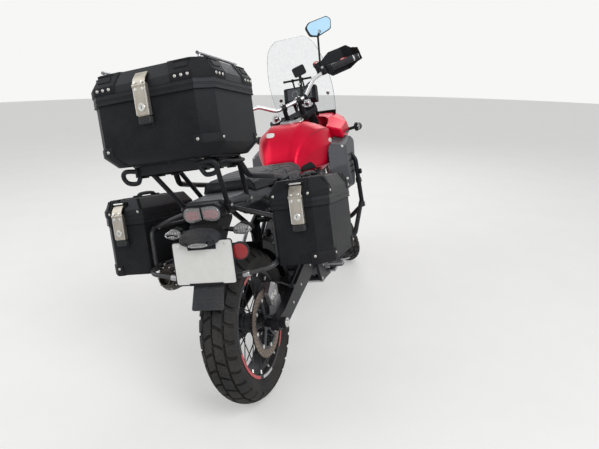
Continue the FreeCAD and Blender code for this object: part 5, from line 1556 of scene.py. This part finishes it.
def dress_shock():
    lo, hi = vec(0, 290, 424), vec(0, 236, 700)
    d = (hi - lo).normalized()
    u = Vector(LEFT)
    w = d.cross(u)
    long = (hi - lo).length
    body, coil = Shape(), Shape()
    body.lathe(lo, d, [(0, 20), (4, 24), (16, 24), (18, 35), (24, 35), (28, 27), (150, 27), (152, 15),
                       (long - 34, 15),
                       (long - 32, 24), (long - 26, 35), (long - 20, 35), (long - 16, 26), (long, 24)], 36)
    turns = 8.0
    pts = [lo + d * (28 + (long - 58) * k / 200) + (u * math.cos(2 * math.pi * turns * k / 200)
                                                   + w * math.sin(2 * math.pi * turns * k / 200)) * 31
           for k in range(201)]
    coil.wire(pts, 5.0, 10)
    piece_body = piece("shock_body", body, "satin")
    upper, ends = Shape(), Shape()
    upper.lathe((0, 240, 690), (0, -14, 62), [(0, 16), (60, 16), (63.5, 12)], 28)
    mount = (0, 228, 746)
    ends.lathe(mount, LEFT, [(-100, 12), (100, 12)], 24)
    ends.lathe(mount, LEFT, [(-24, 12), (-24, 20), (24, 20), (24, 12)], 28)
    piece("shock_upper_rod", upper, "satin")
    piece("shock_upper_pin", ends, "frame")
    piece("shock_spring", coil, "spring")
    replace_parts(piece_body, "rear_shock")
    knob = Shape().lathe((38, 270, 560), LEFT,
                         [(-16, 10), (4, 10), (5, 19), (7, 20), (17, 20), (19, 18), (19, 9)], 12)
    piece("preload_knob", knob, "plastic")


# Tail: lamp, number plate, reflector, indicators and flap

def plate_frame():
    return (BIKE @ Matrix.Translation(vec(0, 1007.0, 688.0) * MM) @ Matrix.Rotation(math.radians(100), 4, "X"))


def half_oval(side, inner, outer, low, high, y, steps=10):
    """Half of a lens pair: straight inner edge, round outer end."""
    mid, tall = (low + high) / 2, (high - low) / 2
    pts = [(side * inner, y, low + tall * 0.35), (side * inner, y, high - 2)]
    for k in range(steps + 1):
        a = math.radians(90 - 180 * k / steps)
        c = max(0.0, math.cos(a)) ** 0.7
        pts.append((side * (inner + 34 + (outer - inner - 34) * c), y, mid + tall * math.sin(a)))
    return pts


def dress_tail():
    lens, red, rim = Shape(), Shape(), Shape()
    for side in (-1, 1):
        ring = half_oval(side, 4, 75, 822, 880, 942)
        lens.slab(ring, REAR, 7.0, 3.2, 2.0)
        red.slab(half_oval(side, 10, 66, 832, 868, 943), REAR, 5.0, 1.6)
        rim.wire(ring + [ring[0]], 2.2)
        for k in range(5):
            z = 836 + 7 * k
            red.slab(rect((side * 12, side * 60), 947.5, (z - 2, z + 2)), REAR, 1.4, 0.6)
    piece("tail_lamp_lenses", lens, "lens")
    piece("tail_lamp_red", red, "red_lens")
    piece("tail_lamp_rims", rim, "dark")
    dress("tail_lamp", "plastic")
    place = plate_frame()
    edge, screws = Shape(), Shape()
    ring = rounded(rect((-122.5, 122.5), (-80, 80), 1), 12)
    edge.wire(ring + ring[:1], 2.4)
    ring = rounded(rect((-119, 119), (-76.5, 76.5), 0), 10)
    bead = Shape().wire(ring + [ring[0]], 1.1, 6)
    edge.slab(rounded(rect((-70, 70), (-83, -74), 4.5), 3), DOWN, 7.5, 1.4)
    for x, yy in ((-94, 64), (94, 64)):
        screws.lathe((x, yy, 0.3), DOWN, [(0, 6), (1.2, 5.8), (2.2, 4), (2.2, 1)], 16)
    piece("plate_frame", edge, "plastic", "chassis", place)
    piece("plate_bead", bead, "plate", "chassis", place)
    piece("plate_screws", screws, "bolt", "chassis", place)
    dress("number_plate", "plate")
    hump, strip = Shape(), Shape()
    prof = [(-80, 764), (-75, 790), (-52, 806), (0, 812), (52, 806), (75, 790), (80, 764), (46, 750), (0, 747),
            (-46, 750)]
    hump.slab(rounded([(x, 978, z) for x, z in prof], 12), REAR, 42, 10, 4)
    strip.slab(rounded([(x * 0.5, 1018, 755 + (z - 764) * 0.26) for x, z in prof], 4), REAR, 6, 2)
    piece("plate_lamp_hump", hump, "flap", sharp=45)
    piece("plate_lamp_glass", strip, "lens")
    arm, pod, face = Shape(), Shape(), Shape()
    at, way = (-136, 968, 714), (-0.25, 1, 0)
    arm.tube([(-56, 984, 730), (-100, 970, 722), at], 5, 10, 4)
    pod.lathe(at, way, [(-6, 20), (0, 33), (12, 34), (16, 33), (16, 30), (14, 29)], 32)
    face.lathe(at, way, [(12, 29.4), (15.5, 29.4), (17.2, 25), (17.8, 14), (18, 0.3)], 32)
    piece("reflector_arm", arm, "plastic")
    piece("reflector_pod", pod, "flap")
    piece("reflector_face", face, "red_lens")
    covers, bulbs, boots = Shape(), Shape(), Shape()
    prof = [(112, 794), (140, 806), (176, 792), (184, 776), (150, 762), (108, 768)]
    covers.slab(rounded([(x, 935, z) for x, z in prof], 8, 6), REAR, 7, 3.6, 2.2)
    for k in range(6):
        x = 118 + 10 * k
        bulbs.slab([(x, 930, 772 + abs(k - 2.5)), (x + 6, 930, 770 + abs(k - 2.5)), (x + 8, 930, 792 - abs(k - 2.5)),
                    (x + 2, 930, 794 - abs(k - 2.5))], REAR, 8, 1.6)
    boots.tube([(44, 916, 786), (78, 918, 783), (112, 921, 778)], lambda t: 11 - 2.5 * math.sin(math.pi * t), 14, 6)
    piece("rear_indicator_lenses", covers.mirror(), "lens")
    piece("rear_indicator_bulbs", bulbs.mirror(), "silver")
    piece("rear_indicator_boots", boots.mirror(), "rubber")
    front, tips = Shape(), Shape()
    front.lathe((300, -481, 941), LEFT, [(-2, 16), (4, 24.4), (14, 25.2), (16, 24.4)], 28)
    tips.lathe((316, -481, 942), (0.95, -0.3, 0), [(0, 24.6), (10, 23), (19, 17), (24.5, 8), (25.5, 0.4)], 28)
    piece("front_indicator_shells", front.mirror(), "plastic")
    piece("front_indicator_lenses", tips.mirror(), "lens")
    dress("indicators", "plastic")
    flap = Shape()
    base = vec(0, 1004, 612), vec(0, 1054, 522)
    d = (base[1] - base[0]).normalized()
    n = vec(0, -d.z, d.y)
    for k in range(7):
        p = base[0] + d * (6 + 14.5 * k) + n * 0.5
        flap.slab([p + vec(-54, 0, 0) - d * 2, p + vec(54, 0, 0) - d * 2, p + vec(54, 0, 0) + d * 2,
                   p + vec(-54, 0, 0) + d * 2], n, 2.0, 1.0)
    skirt = [base[0] + vec(-60, 0, 0), base[0] + vec(60, 0, 0), base[1] + vec(66, 0, 0), base[1] + vec(-66, 0, 0)]
    flap.slab(rounded([p + n * 0.3 for p in skirt], 8), n, 1.6, 0.6)
    piece("mud_flap_face", flap, "flap")
    bolts = Shape()
    for x in (-40, 40):
        for z in (640, 622):
            bolts.bolt((x, 1000 - (z - 640) * 0.25, z), (0, 1, -0.2), 4.2, 3.4, False)
    piece("mud_flap_bolts", bolts, "bolt")
    dress("rear_mudguards", "plastic")


# Racks, hoops, crash bars, pegs and stand

FOOT_HEIGHT = 0.012
RAIL_FRONT, RAIL_REAR = vec(104, 420, 800), vec(84, 900, 852)


def rail_point(y, up=0.0):
    k = (y - RAIL_FRONT.y) / (RAIL_REAR.y - RAIL_FRONT.y)
    p = RAIL_FRONT.lerp(RAIL_REAR, k)
    return vec(p.x, y, p.z + up)


def dress_racks():
    bolts, clamps, knobs = Shape(), Shape(), Shape()
    c = TOP
    for x in (-118, 0, 118):
        for y in (c.rear - 330, c.rear - 90):
            bolts.bolt((x, y, c.floor - 6), DOWN, 5.5, 5.0)
    piece("rack_plate_bolts", bolts, "bolt", "chassis", TOP_FRAME)
    tray, loops = Shape(), Shape()
    y0, y1, z = c.rear - 340, c.rear - 60, c.floor - 8
    for x in (-118, 118):
        block(tray, x - 4, x + 4, y0, y1, z - 34, z + 1)
        for y in (y0 + 40, (y0 + y1) / 2, y1 - 40):
            block(tray, x - 14, x + 14, y - 9, y + 9, z - 38, z - 30)
    for y in (y0 + 12, y1 - 12):
        block(tray, -118, 118, y - 4, y + 4, z - 30, z + 1)
    for side in (-1, 1):
        loops.tube([(side * 112, y1 - 4, z - 14), (side * 160, y1 - 2, z - 10), (side * 178, y1 - 10, z - 26),
                    (side * 168, y1 - 18, z - 48), (side * 132, y1 - 20, z - 52), (side * 116, y1 - 18, z - 30)],
                   8.0, 12, 6)
        loops.tube([(side * 118, y0 + 30, z - 20), (side * 162, y0 + 28, z - 14), (side * 170, y0 + 120, z - 16),
                    (side * 162, y0 + 190, z - 14), (side * 118, y0 + 196, z - 20)], 7.0, 12, 6)
    piece("rack_tray", tray, "frame", "chassis", TOP_FRAME, sharp=25)
    piece("rack_lash_loops", loops, "frame", "chassis", TOP_FRAME)
    for y0, top in ((720, vec(134, 830, 1031)), (884, vec(134, 1010, 1059))):
        foot = rail_point(y0)
        d = (top - foot).normalized()
        clamps.lathe(foot + d * 6, d, [(0, 10), (1, 15), (26, 14), (28, 9.4)], 20)
        clamps.lathe(top - d * 30, d, [(0, 9.4), (2, 13), (20, 14), (22, 9.4)], 20)
        knobs.bolt(foot + d * 18 + vec(14, 0, 0), LEFT, 5.0, 5.0)
        knobs.bolt(top - d * 20 + vec(12.5, 0, 0), LEFT, 4.6, 4.6)
    piece("rack_strut_ends", clamps.mirror(), "frame")
    piece("rack_strut_bolts", knobs.mirror(), "bolt")
    dress("luggage_rack", "frame")
    hoop, pads = Shape(), Shape()
    hx, f, y1 = SIDE.x0 - 10, SIDE.floor, SIDE.rear
    for y, z in ((y1 - 70, f + 20), (y1 - 300, f + 20), (y1 - 70, f + 170), (y1 - 300, f + 170)):
        pads.lathe((hx - 4, y, z), RIGHT, [(-3, 15), (0, 15.5), (5, 14), (6, 9)], 6)
        hoop.bolt((hx - 10, y, z), RIGHT, 4.6, 5.0)
    for place, tag in ((SIDE_FRAME, "left"), (SIDE_FRAME_RIGHT, "right")):
        piece(tag + "_hoop_pads", pads, "plastic", "chassis", place)
        piece(tag + "_hoop_bolts", hoop, "bolt", "chassis", place)
    cross = Shape()
    cross.lathe((0, 985, 600), (1, 0, 0.05), [(-24, 9.2), (-22, 12), (22, 12), (24, 9.2)], 20)
    for x, z in ((-150, 628), (150, 628)):
        cross.lathe((x, 985, z), (1 if x > 0 else -1, 0, 0.19), [(-14, 9.2), (-12, 11.4), (12, 11.4), (14, 9.2)], 20)
    piece("hoop_cross_sleeves", cross, "satin")
    dress("case_hoops", "hoop")
    bars, bar_bolts = Shape(), Shape()
    for at, d in (((304, -350, 505), UP), ((304, -350, 650), UP), ((260, -361, 810), (0.93, 0.2, -0.35))):
        bars.lathe(at, d, [(-15, 12.9), (-13, 16.5), (13, 16.5), (15, 12.9)], 26)
        bar_bolts.bolt((at[0] + 15, at[1], at[2] + 6), LEFT, 4.4, 5.0)
        bar_bolts.bolt((at[0] + 15, at[1], at[2] - 6), LEFT, 4.4, 5.0)
    slider = Shape().lathe((316, -350, 700), LEFT, [(-6, 13), (0, 15), (10, 15), (13, 12), (13, 5)], 24)
    piece("crash_bar_clamps", bars.mirror(), "frame")
    piece("crash_bar_bolts", bar_bolts.mirror(), "bolt")
    piece("crash_bar_sliders", slider.mirror(), "plastic")
    dress("crash_bars", "frame")


def dress_pegs():
    pads, pins = Shape(), Shape()
    for k in range(8):
        x = 190 + 9 * k
        pads.slab(rect((x, x + 5), (92, 128), 325.5), UP, 3.4, 1.2)
    pads.slab(rounded(rect((186, 263), (89, 131), 309), 7), UP, 8, 2)
    pins.lathe((176, 111, 317), UP, [(-22, 5), (-20, 8), (20, 8), (22, 5)], 14)
    rings = []
    for k in range(9):
        d = 4 + 7 * k
        rings += [(d, 14.6), (d + 3.4, 14.6), (d + 4.2, 13.4), (d + 6.4, 13.4)]
    pads.lathe((190, 360, 470), LEFT, [(0, 12)] + rings + [(70, 15), (73, 14)], 24)
    piece("peg_rubbers", pads.mirror(), "rubber")
    piece("peg_pins", pins.mirror(), "bolt")
    toe = Shape()
    toe.lathe((214, -89, 316), (1, -0.22, 0), [(0, 9), (2, 11), (8, 10), (12, 11.4), (18, 10), (24, 11.4), (30, 10),
                                              (33, 8)], 18)
    toe.slab(rounded([(-258, -104, 281), (-214, -98, 279), (-210, -66, 279), (-256, -68, 281)], 7), UP, 4, 1.4)
    for k in range(4):
        x = -250 + 10 * k
        toe.slab(rect((x, x + 4), (-96, -74), 284.4), UP, 2.2, 0.8)
    piece("pedal_pads", toe, "rubber")
    links = Shape()
    lower = (190, 92, 300)
    links.tube([lower, (188, 60, 340), (182, 40, 388)], 4.2, 10, 4)
    links.lathe(lower, LEFT, [(-6, 8), (6, 8), (7, 6)], 14)
    piece("shift_link", links, "bolt")
    dress("foot_controls", "satin")
    dress("side_stand", "frame")
    o = NODES["side_stand"]
    low = min((o.matrix_world @ v.co).z for v in o.data.vertices)
    foot = [o.matrix_world @ v.co for v in o.data.vertices if (o.matrix_world @ v.co).z < low + FOOT_HEIGHT]
    cx = sum(p.x for p in foot) / len(foot)
    cy = sum(p.y for p in foot) / len(foot)
    studs = Shape()
    for dx, dy in ((-26, -20), (22, -22), (26, 18), (-22, 20)):
        studs.bolt((cx / MM + dx, cy / MM + dy, low / MM + 9), UP, 3.6, 3.2, False)
    piece("stand_foot_bolts", studs, "bolt", "stand", Matrix.Identity(4))


# Stage: pale floor and backdrop, soft lamps and the photograph's camera

CAMERA_AT = (-0.872, 2.516, 1.417)
CAMERA_TURN, CAMERA_DOWN, CAMERA_ROLL = 16.85, 18.85, -0.1
WHITE, BACKDROP = (1, 1, 1, 1), (0.93, 0.93, 0.92, 1)
FLOOR_Z, FLOOR_RADIUS = -0.0004, 14.0


def seen_directly(tree):
    """1 for camera, glossy and clear rays, 0 for the rays that light the object."""
    path = add_node(tree, "LightPath").outputs
    seen = maths(tree, "MAXIMUM", path["Is Camera Ray"], path["Is Glossy Ray"])
    return maths(tree, "MAXIMUM", seen, path["Is Transmission Ray"])


def pale(name, colour, shown):
    """Pale ground. Camera, glossy and clear rays see it with white added, so it is almost white to them."""
    m = surface(name, colour, rough=0.9, vary=0.02, scale=3.0, grain=(180, 0.05))
    t = m.node_tree
    ground = t.nodes["Principled BSDF"].outputs[0]
    glow = add_node(t, "Emission", Color=WHITE, Strength=shown).outputs[0]
    lit = add_node(t, "AddShader", [(0, ground), (1, glow)]).outputs[0]
    gate = add_node(t, "MixShader", [("Fac", seen_directly(t)), (1, ground), (2, lit)])
    t.links.new(gate.outputs[0], t.nodes["Material Output"].inputs["Surface"])
    return m


def area_lamp(name, at, target, size, watts):
    data = bpy.data.lights.new(name, "AREA")
    data.shape = "DISK"
    data.size = size
    data.energy = watts
    lamp = bpy.data.objects.new(name, data)
    bpy.context.scene.collection.objects.link(lamp)
    lamp.location = at
    lamp.rotation_euler = (Vector(target) - Vector(at)).to_track_quat("-Z", "Y").to_euler()


def build_stage():
    looks = settings()
    scene = bpy.context.scene
    mesh = bpy.data.meshes.new("floor")
    n = 96
    verts = [(0, 0, FLOOR_Z)] + [(FLOOR_RADIUS * c, FLOOR_RADIUS * s, FLOOR_Z) for s, c in around(n)]
    mesh.from_pydata(verts, [], [(0, i + 1, (i + 1) % n + 1) for i in range(n)])
    floor = bpy.data.objects.new("floor", mesh)
    mesh.materials.append(pale("pale_floor", (0.62, 0.62, 0.61), looks.floor_glow))
    scene.collection.objects.link(floor)
    world = bpy.data.worlds.new("pale_world")
    scene.world = world
    world.use_nodes = True
    t = world.node_tree
    back = t.nodes["Background"]
    back.inputs["Color"].default_value = WHITE
    back.inputs["Strength"].default_value = looks.sky_level
    shown = add_node(t, "Background", Color=BACKDROP, Strength=1.0)
    mix = add_node(t, "MixShader", [("Fac", seen_directly(t)), (1, back.outputs[0]), (2, shown.outputs[0])])
    t.links.new(mix.outputs[0], t.nodes["World Output"].inputs["Surface"])
    area_lamp("key_lamp", (-2.6, 2.6, 3.6), (0, 0.2, 0.6), 2.6, looks.key_watts)
    area_lamp("fill_lamp", (3.2, 1.6, 2.8), (0, 0, 0.6), 3.0, looks.key_watts * 0.45)
    area_lamp("front_lamp", (0.6, -3.6, 3.2), (0, 0, 0.6), 3.0, looks.key_watts * 0.45)
    cam = bpy.data.cameras.new("photo_camera")
    cam.lens, cam.sensor_width = looks.lens, 36.0
    cam.dof.use_dof = False
    obj = bpy.data.objects.new("photo_camera", cam)
    scene.collection.objects.link(obj)
    turn, down = math.radians(CAMERA_TURN), math.radians(CAMERA_DOWN)
    look = vec(math.sin(turn) * math.cos(down), -math.cos(turn) * math.cos(down), -math.sin(down))
    right = look.cross(Vector(UP)).normalized()
    up = right.cross(look)
    roll = Matrix.Rotation(math.radians(CAMERA_ROLL), 4, look)
    pose = Matrix((right, up, -look)).transposed().to_4x4()
    obj.matrix_world = Matrix.Translation(Vector(CAMERA_AT)) @ roll @ pose
    scene.camera = obj
    scene.view_settings.view_transform = "Standard"


# Add-on

class MotorcycleLooks(bpy.types.PropertyGroup):
    paint: bpy.props.FloatVectorProperty(
        name="Paint", description="Colour of the tank and the front cowl", subtype="COLOR", size=3,
        min=0, max=1, default=(0.60, 0.0, 0.028))
    case_black: bpy.props.FloatVectorProperty(
        name="Case coat", description="Colour of the cases' powder coat", subtype="COLOR", size=3,
        min=0, max=1, default=(0.008, 0.0085, 0.010))
    plastic: bpy.props.FloatVectorProperty(
        name="Black plastic", description="Colour of the black mouldings", subtype="COLOR", size=3,
        min=0, max=1, default=(0.007, 0.007, 0.008))
    grey: bpy.props.FloatVectorProperty(
        name="Grey plastic", description="Colour of the grey shrouds and side panels", subtype="COLOR", size=3,
        min=0, max=1, default=(0.045, 0.048, 0.054))
    tread_depth: bpy.props.FloatProperty(
        name="Tread depth", description="Height of the tread blocks", unit="LENGTH", subtype="DISTANCE",
        min=0.002, max=0.014, default=0.0115)
    groove: bpy.props.FloatProperty(
        name="Tread groove", description="Width left between tread blocks", unit="LENGTH", subtype="DISTANCE",
        min=0.002, max=0.020, default=0.008)
    seat_pressure: bpy.props.FloatProperty(
        name="Seat pressure", description="Pressure that swells the seat covers in the cloth run",
        min=0.0, max=40.0, default=6.0)
    seat_cap: bpy.props.FloatProperty(
        name="Seat swell", description="Most that a seat cover may swell", unit="LENGTH", subtype="DISTANCE",
        min=0.0, max=0.010, default=0.005)
    rivet_radius: bpy.props.FloatProperty(
        name="Rivet radius", description="Radius of the rivets on the case corners", unit="LENGTH",
        subtype="DISTANCE", min=0.002, max=0.009, default=0.0052)
    lens: bpy.props.FloatProperty(
        name="Lens", description="Focal length of the photograph's camera in millimetres", min=10, max=120,
        default=31.25)
    key_watts: bpy.props.FloatProperty(
        name="Key lamp", description="Power of the main soft lamp", subtype="POWER", min=0, max=1000, default=95)
    sky_level: bpy.props.FloatProperty(
        name="Sky level", description="Strength of the even light from all round", min=0, max=2, default=0.45)
    floor_glow: bpy.props.FloatProperty(
        name="Floor white", description="White that the camera sees added to the floor", min=0, max=1, default=0.30)


class MOTORCYCLE_OT_wheels(bpy.types.Operator):
    """Tread tyres, brake disc faces, spoke ends, rim tape and hub shells."""
    bl_idname = "motorcycle.wheels"
    bl_label = "Wheels and tyres"

    def execute(self, context):
        dress_wheels()
        return {"FINISHED"}


class MOTORCYCLE_OT_body(bpy.types.Operator):
    """Painted tank and cowl, shrouds, side panels and the filler."""
    bl_idname = "motorcycle.body"
    bl_label = "Tank, cowl and panels"

    def execute(self, context):
        dress_tank()
        dress_cowl()
        return {"FINISHED"}


class MOTORCYCLE_OT_front(bpy.types.Operator):
    """Headlamps, windscreen and instruments."""
    bl_idname = "motorcycle.front"
    bl_label = "Lamps, screen and instruments"

    def execute(self, context):
        dress_lamps()
        dress_screen()
        dress_dash()
        return {"FINISHED"}


class MOTORCYCLE_OT_controls(bpy.types.Operator):
    """Grips, levers, switch blocks, hand guards and mirrors."""
    bl_idname = "motorcycle.controls"
    bl_label = "Handlebar controls"

    def execute(self, context):
        dress_controls()
        dress_guards()
        dress_mirrors()
        return {"FINISHED"}


class MOTORCYCLE_OT_fork(bpy.types.Operator):
    """Fork sliders, seals, caliper details and hose unions."""
    bl_idname = "motorcycle.fork"
    bl_label = "Fork and front brake"

    def execute(self, context):
        dress_fork()
        return {"FINISHED"}


class MOTORCYCLE_OT_engine(bpy.types.Operator):
    """Engine covers and bolts, radiator, skid plate and exhaust."""
    bl_idname = "motorcycle.engine"
    bl_label = "Engine, cooling and exhaust"

    def execute(self, context):
        dress_engine()
        dress_cooling()
        dress_exhaust()
        return {"FINISHED"}


class MOTORCYCLE_OT_drive(bpy.types.Operator):
    """Swingarm, final drive, spring and rear brake."""
    bl_idname = "motorcycle.drive"
    bl_label = "Drive, spring and rear brake"

    def execute(self, context):
        dress_rear_drive()
        dress_shock()
        return {"FINISHED"}


class MOTORCYCLE_OT_seats(bpy.types.Operator):
    """Sewn seat covers, swelled by a cloth run."""
    bl_idname = "motorcycle.seats"
    bl_label = "Seats"

    def execute(self, context):
        dress_seats()
        return {"FINISHED"}


class MOTORCYCLE_OT_tail(bpy.types.Operator):
    """Tail lamp, blank plate, reflector, indicators and mud flap."""
    bl_idname = "motorcycle.tail"
    bl_label = "Tail"

    def execute(self, context):
        dress_tail()
        return {"FINISHED"}


class MOTORCYCLE_OT_cases(bpy.types.Operator):
    """Corner caps, rivets, ribs, latches, pads and rails of the three cases."""
    bl_idname = "motorcycle.cases"
    bl_label = "Cases"

    def execute(self, context):
        dress_cases()
        return {"FINISHED"}


class MOTORCYCLE_OT_racks(bpy.types.Operator):
    """Rack, hoops, crash bars, pegs, pedals and stand."""
    bl_idname = "motorcycle.racks"
    bl_label = "Racks, bars and pegs"

    def execute(self, context):
        dress_racks()
        dress_pegs()
        return {"FINISHED"}


class MOTORCYCLE_OT_stage(bpy.types.Operator):
    """Pale floor, soft lamps and the photograph's camera."""
    bl_idname = "motorcycle.stage"
    bl_label = "Stage"

    def execute(self, context):
        build_stage()
        return {"FINISHED"}


class MOTORCYCLE_PT_panel(bpy.types.Panel):
    bl_label = "Motorcycle"
    bl_idname = "MOTORCYCLE_PT_panel"
    bl_space_type = "VIEW_3D"
    bl_region_type = "UI"
    bl_category = "Motorcycle"

    def draw(self, context):
        looks = context.scene.motorcycle_looks
        for name in looks.bl_rna.properties.keys():
            if name not in ("rna_type", "name"):
                self.layout.prop(looks, name)
        for op in OPERATORS:
            self.layout.operator(op.bl_idname)


OPERATORS = (MOTORCYCLE_OT_body, MOTORCYCLE_OT_front, MOTORCYCLE_OT_controls, MOTORCYCLE_OT_fork,
             MOTORCYCLE_OT_wheels, MOTORCYCLE_OT_engine, MOTORCYCLE_OT_drive, MOTORCYCLE_OT_seats,
             MOTORCYCLE_OT_tail, MOTORCYCLE_OT_cases, MOTORCYCLE_OT_racks, MOTORCYCLE_OT_stage)
CLASSES = (MotorcycleLooks, *OPERATORS, MOTORCYCLE_PT_panel)


def register():
    for c in CLASSES:
        bpy.utils.register_class(c)
    bpy.types.Scene.motorcycle_looks = bpy.props.PointerProperty(type=MotorcycleLooks)


def unregister():
    del bpy.types.Scene.motorcycle_looks
    for c in reversed(CLASSES):
        bpy.utils.unregister_class(c)


def main():
    register()
    bpy.ops.motorcycle.body()
    bpy.ops.motorcycle.front()
    bpy.ops.motorcycle.controls()
    bpy.ops.motorcycle.fork()
    bpy.ops.motorcycle.wheels()
    bpy.ops.motorcycle.engine()
    bpy.ops.motorcycle.drive()
    bpy.ops.motorcycle.seats()
    bpy.ops.motorcycle.tail()
    bpy.ops.motorcycle.cases()
    bpy.ops.motorcycle.racks()
    bpy.ops.motorcycle.stage()


if __name__ == "__main__":
    main()
